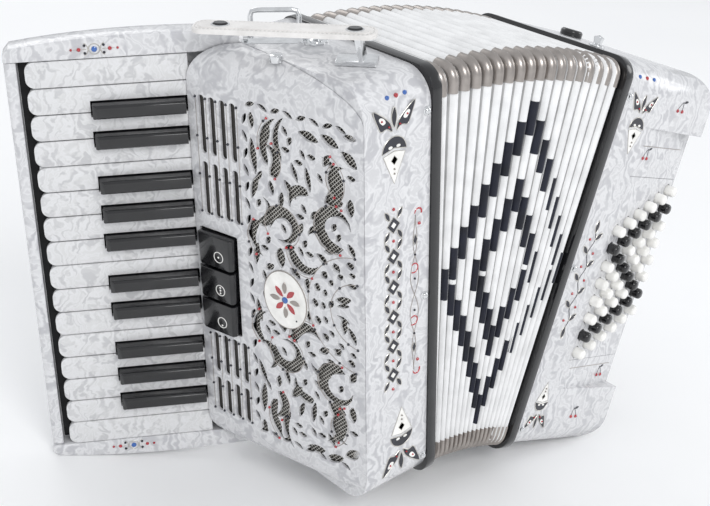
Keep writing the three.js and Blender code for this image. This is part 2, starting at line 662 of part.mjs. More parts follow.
bass.add(named('bass_soundboard', soundboard(...BASS_BOARD_X, BASS_HOLE_Y, BASS_HOLE_Z), WOOD));
const bassReeds = reedBlock(0, 0, BASS_REEDS.z0, BASS_REEDS.z1).rotateZ(Math.PI)
  .translate(BASS_BOARD_X[0] - GAP, BASS_REEDS.y, 0);
bass.add(named('bass_reed_block', bassReeds, WOOD));

// ---- bass strap, its adjuster and the air button ----
function bassStrap() {
  const x = BASS_W + GAP;
  const [z0, z1, z2, z3] = HAND_STRAP.z;
  const [in0, in1, in2, in3] = HAND_STRAP.innerZ;
  const outX = x + HAND_STRAP.out;
  const inX = x + HAND_STRAP.innerOut;
  const outer = new THREE.Shape();
  outer.moveTo(x, z0);
  outer.bezierCurveTo(outX, z1, outX, z2, x, z3);
  outer.lineTo(x, in3);
  outer.bezierCurveTo(inX, in2, inX, in1, x, in0);
  return alongY(outer, ...HAND_STRAP.y, 10);
}
bass.add(named('bass_strap', bassStrap(), LEATHER));

const TOP = CASE_H + GAP; // fittings stand just clear of the casings
bass.add(named('bass_strap_wheel', turned(WHEEL.profile, 16).translate(WHEEL.x, WHEEL.y, TOP), BLACK));
bass.add(named('bass_strap_stud', turned(STUD.profile, 12).translate(STUD.x, STUD.y, TOP), CHROME));

const AIR_PROFILE = [[0, -AIR.back], [AIR.r, -AIR.back], [AIR.r, AIR.out - AIR.bevel[1]],
  [AIR.r - AIR.bevel[0], AIR.out], [0, AIR.out]];
const airButton = turned(AIR_PROFILE, 12).rotateY(Math.PI / 2);
bass.add(named('air_button', airButton.translate(BASS_W, AIR.y, AIR.z), BLACK));

// ---- fittings on top of the treble side ----
treble.add(named('grille_screw_top', turned(SCREW.profile, 12).translate(SCREW.x, SCREW.y, TOP), CHROME));

// a stirrup of round wire standing on its two feet
function wireLoop(width, height, wire) {
  const path = new THREE.CurvePath();
  const half = width / 2;
  const r = LOOP.bend;
  const corner = (a, b, c) => path.add(new THREE.QuadraticBezierCurve3(a, b, c));
  const v = (x, z) => new THREE.Vector3(x, 0, z);
  path.add(new THREE.LineCurve3(v(-half, 0), v(-half, height - r)));
  corner(v(-half, height - r), v(-half, height), v(-half + r, height));
  path.add(new THREE.LineCurve3(v(-half + r, height), v(half - r, height)));
  corner(v(half - r, height), v(half, height), v(half, height - r));
  path.add(new THREE.LineCurve3(v(half, height - r), v(half, 0)));
  const section = new THREE.Shape();
  section.absarc(0, 0, wire, 0, Math.PI * 2, false);
  const options = { steps: 18, bevelEnabled: false, curveSegments: 4, extrudePath: path };
  return new THREE.ExtrudeGeometry(section, options);
}
const loop = wireLoop(LOOP.width, LOOP.height, LOOP.wire);
treble.add(named('shoulder_strap_loop', loop.rotateZ(radians(LOOP.turn))
  .translate(LOOP.x, LOOP.y, CASE_H + LOOP.lift), CHROME));

// the bellows strap, open and lying back over the keyboard
const bracket = alongY(polygon(BRACKET_PROFILE), -BRACKET.half, BRACKET.half);
treble.add(named('bellows_strap_bracket', bracket.rotateZ(radians(STRAP.turn))
  .translate(STRAP.x, STRAP.y + BRACKET.back, TOP), CHROME));

const strapShape = roundedRect(STRAP.tail - STRAP.length, -STRAP.width / 2, STRAP.tail, STRAP.width / 2,
  STRAP.r);
treble.add(named('bellows_strap', standing(strapShape, 0, STRAP.thickness, 4)
  .rotateZ(radians(STRAP.turn)).translate(STRAP.x, STRAP.y, TOP + BRACKET.height + GAP), LEATHER));

// ---- stand the object on its base, centred on its bounding box ----
accordion.updateMatrixWorld(true);
const bounds = new THREE.Box3().setFromObject(accordion, true);
const middle = bounds.getCenter(new THREE.Vector3());
accordion.position.set(-middle.x, -middle.y, -bounds.min.z);
accordion.updateMatrixWorld(true);

export default accordion;
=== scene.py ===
"""Looks of a piano accordion: pearl celluloid casings, pierced grille, pleated bellows and trim."""
import json
import math

import bmesh
import bpy
from mathutils import Matrix, Vector
from mathutils.geometry import delaunay_2d_cdt


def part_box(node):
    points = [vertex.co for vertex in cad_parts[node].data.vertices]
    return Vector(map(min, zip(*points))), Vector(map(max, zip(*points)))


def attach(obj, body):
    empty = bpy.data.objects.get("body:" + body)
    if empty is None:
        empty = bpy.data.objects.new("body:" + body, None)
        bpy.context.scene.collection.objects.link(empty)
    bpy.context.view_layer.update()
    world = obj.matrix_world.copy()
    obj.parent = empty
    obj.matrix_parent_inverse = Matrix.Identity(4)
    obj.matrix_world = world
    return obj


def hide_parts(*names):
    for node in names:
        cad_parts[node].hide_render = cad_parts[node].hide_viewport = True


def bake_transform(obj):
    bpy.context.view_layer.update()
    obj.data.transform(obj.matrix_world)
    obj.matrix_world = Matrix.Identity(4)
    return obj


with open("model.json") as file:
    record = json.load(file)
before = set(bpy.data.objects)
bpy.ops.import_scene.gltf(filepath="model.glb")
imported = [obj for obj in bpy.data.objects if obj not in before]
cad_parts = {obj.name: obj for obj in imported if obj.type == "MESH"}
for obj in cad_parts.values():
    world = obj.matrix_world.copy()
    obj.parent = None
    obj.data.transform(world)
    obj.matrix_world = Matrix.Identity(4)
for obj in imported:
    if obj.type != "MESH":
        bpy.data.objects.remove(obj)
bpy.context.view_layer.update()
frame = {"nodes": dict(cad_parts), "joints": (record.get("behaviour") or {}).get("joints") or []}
NODES = frame["nodes"]
JOINTS = {joint["name"]: joint for joint in frame["joints"]}

# ---- dimensions, in millimetres, in the frames of the casings ----
MM = 0.001
CASE_H = 309
TREBLE_W = 56
CASE_D = 154
CASE_R = 14
BASS_W = 112
FRAME_W = 8
SEAM_X = -56.6
KEY_TIP = Vector((-177.4, 197.9, 0))
KEY_TURN = math.radians(-31.42)
KEY_LENGTH = 103.4
KEYS_TOP = 304
KEYS_BOTTOM = 4.8
AXLE = Vector((130, 6.3, 150))
WHEEL = Vector((60, 112, 309.3))
COVER_R = 22
COVER_T = 3
COVER_LIFT = 1.5
PANEL_X = 36
PANEL_TURN = math.radians(8)
FOLDS = 18


# ---- the frames of the casings ----
def casing_frame(up, point, local):
    """Millimetres of a casing to metres of the row, from its upward axis and one point known in both."""
    z = Vector(up).normalized()
    y = Vector((0, 1, 0))
    turn = Matrix((y.cross(z), y, z)).transposed()
    origin = Vector(point) - turn @ (Vector(local) * MM)
    return Matrix.Translation(origin) @ turn.to_4x4() @ Matrix.Scale(MM, 4)


def turned_frame(at, angle):
    return Matrix.Translation(at) @ Matrix.Rotation(angle, 4, "Z")


KEYS_IN_TREBLE = turned_frame(KEY_TIP, KEY_TURN)
key_joint = JOINTS["key_white_C1_press"]
wheel_joint = JOINTS["bass_strap_wheel_turn"]
TREBLE = casing_frame(-Vector(key_joint["axis"]), key_joint["pos_m"], KEYS_IN_TREBLE @ AXLE)
BASS = casing_frame(wheel_joint["axis"], wheel_joint["pos_m"], WHEEL)
KEYBOARD = TREBLE @ KEYS_IN_TREBLE
root = KEYS_IN_TREBLE @ Vector((KEY_LENGTH, 0, 0))
FACE_TURN = math.atan2(-root.y, SEAM_X - root.x)
FACE_LENGTH = math.hypot(root.y, SEAM_X - root.x)
GRILLE = TREBLE @ turned_frame(root, FACE_TURN)
PANEL = BASS @ turned_frame(Vector((PANEL_X, 0, 0)), PANEL_TURN)

# ---- camera ----
EYE = Vector((-571.97, -602.38, 618.39))
HEADING = math.radians(40.12)
DIP = math.radians(27.75)
ROLL = math.radians(-0.65)
LENS = 71.7
SENSOR = 36


def make_camera():
    ahead = Vector((math.sin(HEADING) * math.cos(DIP), math.cos(HEADING) * math.cos(DIP), -math.sin(DIP)))
    right = Vector((math.cos(HEADING), -math.sin(HEADING), 0))
    up = right.cross(ahead)
    side = right * math.cos(ROLL) + up * math.sin(ROLL)
    above = up * math.cos(ROLL) - right * math.sin(ROLL)
    turn = Matrix((side, above, -ahead)).transposed()
    to_row = TREBLE.to_quaternion().to_matrix()
    data = bpy.data.cameras.new("camera")
    data.lens = LENS
    data.sensor_width = SENSOR
    camera = bpy.data.objects.new("camera", data)
    camera.matrix_world = Matrix.Translation(TREBLE @ EYE) @ (to_row @ turn).to_4x4()
    bpy.context.scene.collection.objects.link(camera)
    bpy.context.scene.camera = camera


make_camera()


# ---- materials ----
def shader(name, constants):
    material = bpy.data.materials.new(name)
    material.use_nodes = True
    bsdf = material.node_tree.nodes["Principled BSDF"]
    for socket, value in constants.items():
        bsdf.inputs[socket].default_value = value
    return material, material.node_tree, bsdf


def node(tree, kind, inputs=None, **settings):
    """Adds a node; each input is a value or another node's output socket."""
    made = tree.nodes.new(kind)
    for name, value in settings.items():
        setattr(made, name, value)
    for name, value in (inputs or {}).items():
        if isinstance(value, bpy.types.NodeSocket):
            tree.links.new(value, made.inputs[name])
        else:
            made.inputs[name].default_value = value
    return made


def tint(tree, bsdf, value, stops):
    """Base colour from a ramp over value."""
    made = node(tree, "ShaderNodeValToRGB", {"Fac": value})
    elements = made.color_ramp.elements
    while len(elements) < len(stops):
        elements.new(0.5)
    for element, (place, colour) in zip(elements, stops):
        element.position = place
        element.color = (*colour, 1)
    tree.links.new(made.outputs["Color"], bsdf.inputs["Base Color"])


def grey(value, tint=0.0):
    return (value, value, value + tint)


def coordinates(tree):
    return node(tree, "ShaderNodeTexCoord").outputs["Object"]


def noise(tree, place, scale, detail=3.0):
    return node(tree, "ShaderNodeTexNoise", {"Vector": place, "Scale": scale, "Detail": detail})


def warped(tree, place, scale, amount):
    shift = noise(tree, place, scale).outputs["Color"]
    centred = node(tree, "ShaderNodeVectorMath", {0: shift, 1: (0.5, 0.5, 0.5)}, operation="SUBTRACT")
    scaled = node(tree, "ShaderNodeVectorMath", {0: centred.outputs[0], "Scale": amount}, operation="SCALE")
    return node(tree, "ShaderNodeVectorMath", {0: place, 1: scaled.outputs[0]}).outputs[0]


def bump(tree, bsdf, height, distance, strength=0.5):
    made = node(tree, "ShaderNodeBump", {"Height": height, "Distance": distance, "Strength": strength})
    tree.links.new(made.outputs["Normal"], bsdf.inputs["Normal"])


def rough(tree, bsdf, place, scale, low, high):
    made = node(tree, "ShaderNodeMapRange", {"Value": noise(tree, place, scale).outputs["Fac"],
                                             "To Min": low, "To Max": high})
    tree.links.new(made.outputs[0], bsdf.inputs["Roughness"])


def pearl(name, flake, dark, light):
    """Mother-of-pearl celluloid: soft overlapping flakes with silky streaks under a clear gloss."""
    material, tree, bsdf = shader(name, {"Coat Weight": 0.45, "Coat Roughness": 0.16, "IOR": 1.5})
    place = warped(tree, coordinates(tree), 30 * flake, 0.02)
    cells = node(tree, "ShaderNodeTexVoronoi", {"Vector": place, "Scale": 75 * flake, "Smoothness": 0.35},
                 feature="SMOOTH_F1")
    silk = node(tree, "ShaderNodeTexWave", {"Vector": place, "Scale": 26 * flake, "Distortion": 14,
                                            "Detail": 3, "Detail Scale": 2})
    mixed = node(tree, "ShaderNodeMix", {0: 0.45, 2: cells.outputs["Color"], 3: silk.outputs["Fac"]})
    bright = grey(0.72, 0.01)
    tint(tree, bsdf, mixed.outputs[0], [(0.18, dark), (0.42, light), (0.6, bright), (0.85, light)])
    rough(tree, bsdf, place, 120, 0.18, 0.3)
    return material


def surface(name, constants, blotch, stops, roughness):
    """A material whose colour and roughness both follow noise."""
    material, tree, bsdf = shader(name, constants)
    place = coordinates(tree)
    tint(tree, bsdf, noise(tree, place, *blotch).outputs["Fac"], stops)
    rough(tree, bsdf, place, *roughness)
    return material, tree, bsdf, place


def gloss(name, colour, low=0.12, high=0.24, coat=0.4):
    """Polished plastic or lacquer with faint polishing marks."""
    lighter = tuple(min(1, c * 1.25 + 0.004) for c in colour)
    constants = {"Coat Weight": coat, "Coat Roughness": 0.05}
    stops = [(0.35, colour), (0.7, lighter)]
    material, tree, bsdf, place = surface(name, constants, (90,), stops, (160, low, high))
    bump(tree, bsdf, noise(tree, place, 700).outputs["Fac"], 0.00005, 0.3)
    return material


def metal(name, colour, low, high):
    darker = tuple(c * 0.82 for c in colour)
    stops = [(0.3, darker), (0.65, colour)]
    material, tree, bsdf, place = surface(name, {"Metallic": 1.0}, (140,), stops, (300, low, high))
    bump(tree, bsdf, noise(tree, place, 900).outputs["Fac"], 0.00004, 0.3)
    return material


def cloth(name, colour, shade, pitch=0.0009):
    """Coated book cloth: a fine weave, greyer where it has rubbed."""
    constants = {"Sheen Weight": 0.15, "Specular IOR Level": 0.35}
    stops = [(0.3, shade), (0.62, colour)]
    material, tree, bsdf, place = surface(name, constants, (60, 5), stops, (200, 0.45, 0.65))
    threads = [node(tree, "ShaderNodeTexWave", {"Vector": place, "Scale": 1 / (pitch * 6.28)},
                    bands_direction=axis).outputs["Fac"] for axis in ("X", "Z")]
    weave = node(tree, "ShaderNodeMath", {0: threads[0], 1: threads[1]}, operation="MULTIPLY")
    bump(tree, bsdf, weave.outputs[0], 0.0001, 0.5)
    return material


def leather(name, colour, shade):
    stops = [(0.35, shade), (0.65, colour)]
    material, tree, bsdf, place = surface(name, {"Sheen Weight": 0.05}, (80, 4), stops, (250, 0.38, 0.55))
    grain = node(tree, "ShaderNodeTexVoronoi", {"Vector": place, "Scale": 900})
    bump(tree, bsdf, grain.outputs["Distance"], 0.00025, 0.5)
    return material


def wood(name, colour, shade):
    material, tree, bsdf = shader(name, {})
    place = warped(tree, coordinates(tree), 12, 0.02)
    rings = node(tree, "ShaderNodeTexWave", {"Vector": place, "Scale": 45, "Distortion": 3, "Detail": 3},
                 bands_direction="X")
    tint(tree, bsdf, rings.outputs["Fac"], [(0.2, shade), (0.8, colour)])
    rough(tree, bsdf, place, 90, 0.45, 0.6)
    bump(tree, bsdf, rings.outputs["Fac"], 0.0001, 0.3)
    return material


PEARL = pearl("pearl", 1.3, grey(0.5, 0.02), grey(0.6, 0.012))
KEY_PEARL = pearl("key_pearl", 1.6, grey(0.54, 0.01), grey(0.66))
BLACK = gloss("black_gloss", (0.004, 0.004, 0.005))
NAVY = gloss("navy_enamel", (0.004, 0.005, 0.014), 0.25, 0.4)
RED = gloss("red_stone", (0.36, 0.012, 0.02), 0.05, 0.12, 1.0)
BLUE = gloss("blue_stone", (0.02, 0.1, 0.36), 0.05, 0.12, 1.0)
WHITE = gloss("white_button", (0.78, 0.77, 0.74))
CHROME = metal("chrome", (0.78, 0.79, 0.8), 0.06, 0.2)
SILVER = metal("silver_wire", (0.62, 0.6, 0.56), 0.22, 0.38)
CAP_METAL = metal("corner_metal", (0.42, 0.385, 0.36), 0.25, 0.42)
FRONT_CLOTH = cloth("bellows_front_cloth", grey(0.86), grey(0.74))
# A darker grey copy of the white bellows cloth: painted shade for the slopes down into each fold's valley.
CREASE_SHADE_CLOTH = cloth("bellows_crease_shade_cloth", grey(0.5), grey(0.36))
NAVY_CLOTH = cloth("bellows_navy_cloth", (0.007, 0.009, 0.022), (0.003, 0.004, 0.009))
GRILLE_CLOTH = cloth("grille_cloth", (0.05, 0.045, 0.04), (0.02, 0.018, 0.016))
# Near-black cloth laid under the keys: painted shade in the gaps between them.
KEY_GAP_SHADE = cloth("key_gap_shade", (0.012, 0.012, 0.014), (0.006, 0.006, 0.006), 0.0014)
BLACK_LEATHER = leather("black_leather", (0.02, 0.019, 0.018), (0.01, 0.01, 0.01))
WHITE_LEATHER = leather("white_leather", (0.82, 0.8, 0.78), (0.7, 0.68, 0.66))
THREAD = cloth("thread", (0.7, 0.69, 0.67), (0.5, 0.49, 0.48), 0.0005)
WOOD = wood("reed_wood", (0.5, 0.33, 0.17), (0.34, 0.2, 0.09))
RUBBER = cloth("rubber", (0.02, 0.02, 0.02), (0.012, 0.012, 0.012), 0.0016)


# ---- mesh work ----
def band(bm, loop_a, loop_b, material):
    """Quads between two closed rows of vertices."""
    count = len(loop_a)
    for i in range(count):
        j = (i + 1) % count
        face = bm.faces.new((loop_a[i], loop_a[j], loop_b[j], loop_b[i]))
        face.material_index = material


def cap(bm, loop, material):
    bm.faces.new(loop).material_index = material


def skin(bm, loops, material=0, closed=False):
    """Quads from each row to the next; the ends are capped unless the rows close on themselves."""
    for a, b in zip(loops, loops[1:]):
        band(bm, a, b, material)
    if closed:
        band(bm, loops[-1], loops[0], material)
    else:
        cap(bm, loops[0], material)
        cap(bm, loops[-1], material)


def plate(bm, outline, front, back, material=0, chamfer=0.3):
    """A flat plate with its outline in (x, z) and its chamfered face at y = front."""
    centre = sum((Vector(p) for p in outline), Vector((0, 0))) / len(outline)
    drawn_in = [Vector(p) + (centre - Vector(p)).normalized() * chamfer for p in outline]
    slope = chamfer if back > front else -chamfer
    rows = [(outline, back), (outline, front + slope), (drawn_in, front)]
    skin(bm, [[bm.verts.new((p[0], y, p[1])) for p in points] for points, y in rows], material)


def ribbon(bm, path, widths, front, back, material=0, closed=False):
    """A strip along path in (x, z) with a chamfered face at y = front; widths is a number or a list."""
    points = [Vector(p) for p in path]
    count = len(points)
    if not isinstance(widths, list):
        widths = [widths] * count
    sections = []
    for i, point in enumerate(points):
        after = points[(i + 1) % count] if closed or i + 1 < count else point
        before = points[i - 1] if closed or i else point
        along = (after - before).normalized()
        side = Vector((-along.y, along.x))
        half = widths[i] / 2
        edge = min(0.5, half * 0.5)
        profile = [(-half, back), (-half, front + edge), (edge - half, front),
                   (half - edge, front), (half, front + edge), (half, back)]
        sections.append([bm.verts.new((point.x + side.x * w, y, point.y + side.y * w)) for w, y in profile])
    skin(bm, sections, material, closed)


def lathe(bm, profile, at, axis=(0, -1, 0), sides=24, material=0):
    """A turned piece: profile lists (radius, height along axis), from the axis back to the axis."""
    turn = Vector((0, 0, 1)).rotation_difference(Vector(axis)).to_matrix()
    rings = []
    for radius, height in profile:
        if radius == 0:
            rings.append([bm.verts.new(Vector(at) + turn @ Vector((0, 0, height)))])
            continue
        round_it = [polar(0, 0, radius, 360 * i / sides) for i in range(sides)]
        rings.append([bm.verts.new(Vector(at) + turn @ Vector((x, y, height))) for x, y in round_it])
    for a, b in zip(rings, rings[1:]):
        if len(a) == 1 or len(b) == 1:
            point, loop = (a[0], b) if len(a) == 1 else (b[0], a)
            for one, two in zip(loop, loop[1:] + loop[:1]):
                cap(bm, (point, one, two), material)
        else:
            band(bm, a, b, material)


def rod(bm, points, radius, sides=8, material=0):
    """A round wire along points."""
    points = [Vector(p) for p in points]
    rings = []
    across = None
    for i, point in enumerate(points):
        after = points[min(i + 1, len(points) - 1)]
        before = points[max(i - 1, 0)]
        along = (after - before).normalized()
        if across is None:
            across = along.orthogonal().normalized()
        across = (across - along * across.dot(along)).normalized()
        other = along.cross(across)
        angles = [2 * math.pi * k / sides for k in range(sides)]
        rings.append([bm.verts.new(point + (across * math.cos(a) + other * math.sin(a)) * radius)
                      for a in angles])
    skin(bm, rings, material)


def smooth_loop(points, steps=4):
    """A closed curve through points."""
    points = [Vector(p) for p in points]
    count = len(points)
    made = []
    for i in range(count):
        p0, p1, p2, p3 = (points[(i + k) % count] for k in (-1, 0, 1, 2))
        for step in range(steps):
            t = step / steps
            made.append(tuple(0.5 * (2 * p1 + (p2 - p0) * t + (2 * p0 - 5 * p1 + 4 * p2 - p3) * t * t
                                     + (3 * p1 - p0 - 3 * p2 + p3) * t * t * t)))
    return made


def polar(x, z, radius, degrees, stretch=1.0):
    a = math.radians(degrees)
    return x + radius * math.cos(a), z + radius * stretch * math.sin(a)


def arc(x, z, radius, start, end, count, stretch=1.0):
    """Points of an arc in degrees, both ends included."""
    turn = (end - start) / (count - 1)
    return [polar(x, z, radius, start + turn * i, stretch) for i in range(count)]


def ring(x, z, radius, count=24, stretch=1.0):
    return arc(x, z, radius, 0, 360 - 360 / count, count, stretch)


def rounded_box(x0, z0, x1, z1, radius, steps=5):
    left, right, low, high = x0 + radius, x1 - radius, z0 + radius, z1 - radius
    corners = [(right, high), (left, high), (left, low), (right, low)]
    return [p for k, (x, z) in enumerate(corners) for p in arc(x, z, radius, 90 * k, 90 * k + 90, steps)]


def piece(name, bm, where, materials, body, sharp=38):
    """One named piece in the row frame, smooth but for its sharp edges, riding a body."""
    bmesh.ops.recalc_face_normals(bm, faces=bm.faces)
    for face in bm.faces:
        face.smooth = True
    for edge in bm.edges:
        if len(edge.link_faces) == 2 and edge.calc_face_angle(0) > math.radians(sharp):
            edge.smooth = False
    bm.transform(where)
    made = loose_object(name, bm)
    for material in materials:
        made.data.materials.append(material)
    bpy.context.scene.collection.objects.link(made)
    if body:
        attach(made, body)
    return made


def loose_object(name, bm):
    """An object that is not in the scene yet."""
    mesh = bpy.data.meshes.new(name)
    bm.to_mesh(mesh)
    bm.free()
    return bpy.data.objects.new(name, mesh)


def evaluated(made):
    """Applies the object's modifiers."""
    graph = bpy.context.evaluated_depsgraph_get()
    mesh = bpy.data.meshes.new_from_object(made.evaluated_get(graph))
    made.modifiers.clear()
    made.data = mesh


def stone(bm, x, z, radius, material, front=0.0):
    """A cut stone in a rim, standing on the face y = front."""
    lathe(bm, [(0, -0.4), (radius, -0.4), (radius, 0.5), (radius * 0.55, 1.1), (0, 1.15)],
          (x, front, z), sides=10, material=material)


# ---- the CAD pieces that show: weld, round their edges and shade them smooth ----
def smooth_group():
    tree = bpy.data.node_groups.new("shade_smooth", "GeometryNodeTree")
    tree.interface.new_socket("Geometry", in_out="INPUT", socket_type="NodeSocketGeometry")
    tree.interface.new_socket("Geometry", in_out="OUTPUT", socket_type="NodeSocketGeometry")
    start = tree.nodes.new("NodeGroupInput")
    shade = tree.nodes.new("GeometryNodeSetShadeSmooth")
    end = tree.nodes.new("NodeGroupOutput")
    tree.links.new(start.outputs[0], shade.inputs["Geometry"])
    tree.links.new(shade.outputs[0], end.inputs[0])
    return tree


SMOOTH = smooth_group()


def dress(name, material, edge=0.5):
    made = NODES[name]
    made.data.materials.clear()
    made.data.materials.append(material)
    weld = made.modifiers.new("weld", "WELD")
    weld.merge_threshold = 0.00002
    if edge:
        bevel = made.modifiers.new("bevel", "BEVEL")
        bevel.width = edge * MM
        bevel.segments = 2
        bevel.angle_limit = math.radians(40)
    made.modifiers.new("smooth", "NODES").node_group = SMOOTH
    split = made.modifiers.new("split", "EDGE_SPLIT")
    split.split_angle = math.radians(32)


def dress_all():
    for name in NODES:
        if name.startswith("key_white"):
            dress(name, KEY_PEARL, 1.3)
        elif name.startswith("key_black"):
            dress(name, BLACK, 0.7)
        elif name.startswith("register_switch"):
            dress(name, BLACK, 0.8)
        elif "soundboard" in name or "reed_block" in name:
            dress(name, WOOD, 0)
        elif "bellows_frame" in name:
            dress(name, BLACK, 0.6)
    for name in ("treble_casing", "bass_casing", "keyboard_bed", "keyboard_rail",
                 "keyboard_end_cap_top", "keyboard_end_cap_bottom"):
        dress(name, PEARL, 0.9)
    dress("bass_button_panel", PEARL, 0)
    dress("key_axle", CHROME, 0)
    dress("grille_mesh", GRILLE_CLOTH, 0)
    dress("bass_strap_wheel", BLACK, 0.4)
    dress("air_button", BLACK, 0.5)
    for name in ("shoulder_strap_loop", "grille_screw_top", "bass_strap_stud", "bellows_strap_bracket"):
        dress(name, CHROME, 0.3)


dress_all()


# ---- grille cover: a wedge with rounded ends, open behind, with a pierced face ----
WINDOW = (2, COVER_R, FACE_LENGTH - 2, CASE_H - COVER_R)
SHEET_T = 2
SLOT_ROWS = [(29, 58), (63, 96), (190, 230), (236, 278)]
SLOT_COLUMNS = [11.5 + 9 * column for column in range(4)]
SLOT_W = 5
LACE = (51, 33, 146, 276)
SEED_STEP = (7, 6.4)
SEED_ROOM = 4.6
SEED_CLEAR = 22
SWITCH_WELL = (5.5, 100.5, 39.5, 179.5)
GUSSET_T = 0.5
ROSETTE = (144, 151)
MEDALLION = (81, 145)


def cover_body(inset, clipped):
    radius = COVER_R - inset
    high = CASE_H - inset
    profile = [(150, inset)] + arc(inset + radius, inset + radius, radius, 270, 180, 9)
    profile += arc(inset + radius, high - radius, radius, 180, 90, 9) + [(150, high)]
    bm = bmesh.new()
    ends = [[bm.verts.new((s, y, z)) for y, z in profile] for s in (-30, FACE_LENGTH + 30)]
    skin(bm, ends)
    if clipped:
        seam_side = Vector((math.cos(FACE_TURN), -math.sin(FACE_TURN), 0))
        behind = Matrix.Rotation(KEY_TURN - FACE_TURN, 3, "Z") @ Vector((0, 1, 0))
        lip = behind * -COVER_LIFT
        for at, normal in ((Vector((FACE_LENGTH, 0, 0)), seam_side), (lip, behind)):
            cut = bmesh.ops.bisect_plane(bm, geom=bm.verts[:] + bm.edges[:] + bm.faces[:],
                                         plane_co=at, plane_no=normal, clear_outer=True)
            edges = [e for e in cut["geom_cut"] if isinstance(e, bmesh.types.BMEdge)]
            bmesh.ops.contextual_create(bm, geom=edges)
    bmesh.ops.recalc_face_normals(bm, faces=bm.faces)
    return loose_object("cover_body", bm)


def window_tool():
    s0, z0, s1, z1 = WINDOW
    bm = bmesh.new()
    plate(bm, [(s0, z0), (s1, z0), (s1, z1), (s0, z1)], -5, 12, chamfer=0.01)
    bmesh.ops.recalc_face_normals(bm, faces=bm.faces)
    return loose_object("window_tool", bm)


def make_seam_gussets():
    """Pearl walls in the casing's front corners, behind the cover's rounder ends."""
    bm = bmesh.new()
    for low in (True, False):
        corner = arc(COVER_R, COVER_R, COVER_R - 0.3, 180, 270, 12)
        corner += [(46, 0.3), (46, 6), (6, 46), (0.3, 46)]
        outline = [(y, z if low else CASE_H - z) for y, z in corner]
        sides = (-TREBLE_W - GUSSET_T / 2, -TREBLE_W + GUSSET_T / 2)
        skin(bm, [[bm.verts.new((x, y, z)) for y, z in outline] for x in sides])
    piece("seam_gussets", bm, TREBLE, [PEARL], "treble")


def make_cover():
    body = cover_body(0, True)
    tools = [cover_body(COVER_T, False), window_tool()]
    for made in [body] + tools:
        bpy.context.scene.collection.objects.link(made)
    for tool in tools:
        boolean = body.modifiers.new("cut", "BOOLEAN")
        boolean.operation = "DIFFERENCE"
        boolean.object = tool
    evaluated(body)
    bm = bmesh.new()
    bm.from_mesh(body.data)
    for made in [body] + tools:
        bpy.data.objects.remove(made)
    bmesh.ops.remove_doubles(bm, verts=bm.verts, dist=0.01)
    return piece("grille_cover_shell", bm, GRILLE, [PEARL], "treble", 30)


def comma(s, z, radius, start, end, width):
    """A hole like a comma: an arc that is widest a third of the way along."""
    outer = []
    inner = []
    steps = 12
    for i in range(steps + 1):
        t = i / steps
        half = width / 2 * (math.sin(math.pi * t ** 0.6) ** 0.8 if 0 < t < 1 else 0.02)
        for side, row in ((half, outer), (-half, inner)):
            row.append(polar(s, z, radius + side, start + (end - start) * t))
    return outer + inner[::-1]


def leaf(s, z, length, width, tilt):
    """A pointed leaf hole with its middle at (s, z)."""
    half = length / 2
    side = width / 2
    points = [(-half, 0), (-half * 0.4, side * 0.9), (half * 0.3, side), (half, 0),
              (half * 0.3, -side * 0.8), (-half * 0.4, -side * 0.7)]
    c, n = math.cos(math.radians(tilt)), math.sin(math.radians(tilt))
    turned = [(s + u * c - v * n, z + u * n + v * c) for u, v in points]
    return smooth_loop(turned, 3)


# The scrollwork of the upper half; the lower half mirrors it about the rosette's middle.
# Commas are (s, z, radius, start, end, width) and leaves (s, z, length, width, tilt).
COMMAS = [
    (80, 200, 9, 200, -110, 8), (124, 210, 11, 300, 10, 8.5), (99, 184, 10, 170, 330, 8),
    (66, 186, 12, 120, 250, 6), (112, 243, 14, -70, 75, 9), (86, 256, 20, 215, 120, 6),
    (95, 262, 18, 220, 130, 5), (66, 245, 10, -60, 80, 7), (60, 208, 9, -90, 60, 6),
    (110, 199, 7, 20, 170, 5.5), (131, 245, 9, 250, 90, 6), (97, 221, 9, 60, 200, 6.5),
]
LEAVES = [
    (57.5, 245, 22, 6, 96), (57.5, 223, 17, 5, 70), (57, 173, 15, 5, 80), (57, 270, 10, 5, 90),
    (88, 229, 13, 5.5, 130), (80, 219, 11, 4.5, 80), (104, 270, 14, 6, -10), (121, 271, 13, 6, -20),
    (136, 262, 13, 7, -35), (137, 229, 11, 6, 90), (78, 176, 13, 7.5, 90), (68, 166, 8, 4.5, 35),
    (90, 168, 9, 5, -35), (86, 186, 8, 4, 20), (108, 216, 9, 4.5, 40), (113, 186, 9, 5, -30),
    (103, 240, 15, 4.5, 100), (125, 228, 12, 5, 30), (137, 199, 9, 5, -60), (119, 193, 7, 4, 10),
    (72, 226, 9, 4.5, 100), (70, 263, 13, 4.5, 75), (118, 257, 9, 4.5, 60), (137, 277, 9, 4, 0),
    (96, 203, 8, 4, 70), (71, 208, 8, 3.5, 60), (92, 242, 12, 4, 110), (125, 183, 7, 4, -50),
    (62, 232, 8, 3.5, 60), (100, 163, 8, 4.5, 80), (63, 158, 7, 3.5, 100),
]


def rosette_holes():
    s, z = ROSETTE
    holes = []
    for i in range(9):
        angle = 102 + i * 19.5
        for radius, length, width in ((38, 7, 6), (31, 6, 4.5)):
            holes.append(leaf(*polar(s, z, radius, angle), length, width, angle + 90))
    for angle in (115, 145, 215, 245):
        holes.append(leaf(*polar(s, z, 17, angle), 14, 6, angle + 55))
    for side in (-1, 1):
        holes.append(leaf(s - 14, z + 5 * side, 11, 3.4, 18 * side))
    return [hole for hole in holes if max(p[0] for p in hole) < FACE_LENGTH - 4.5]


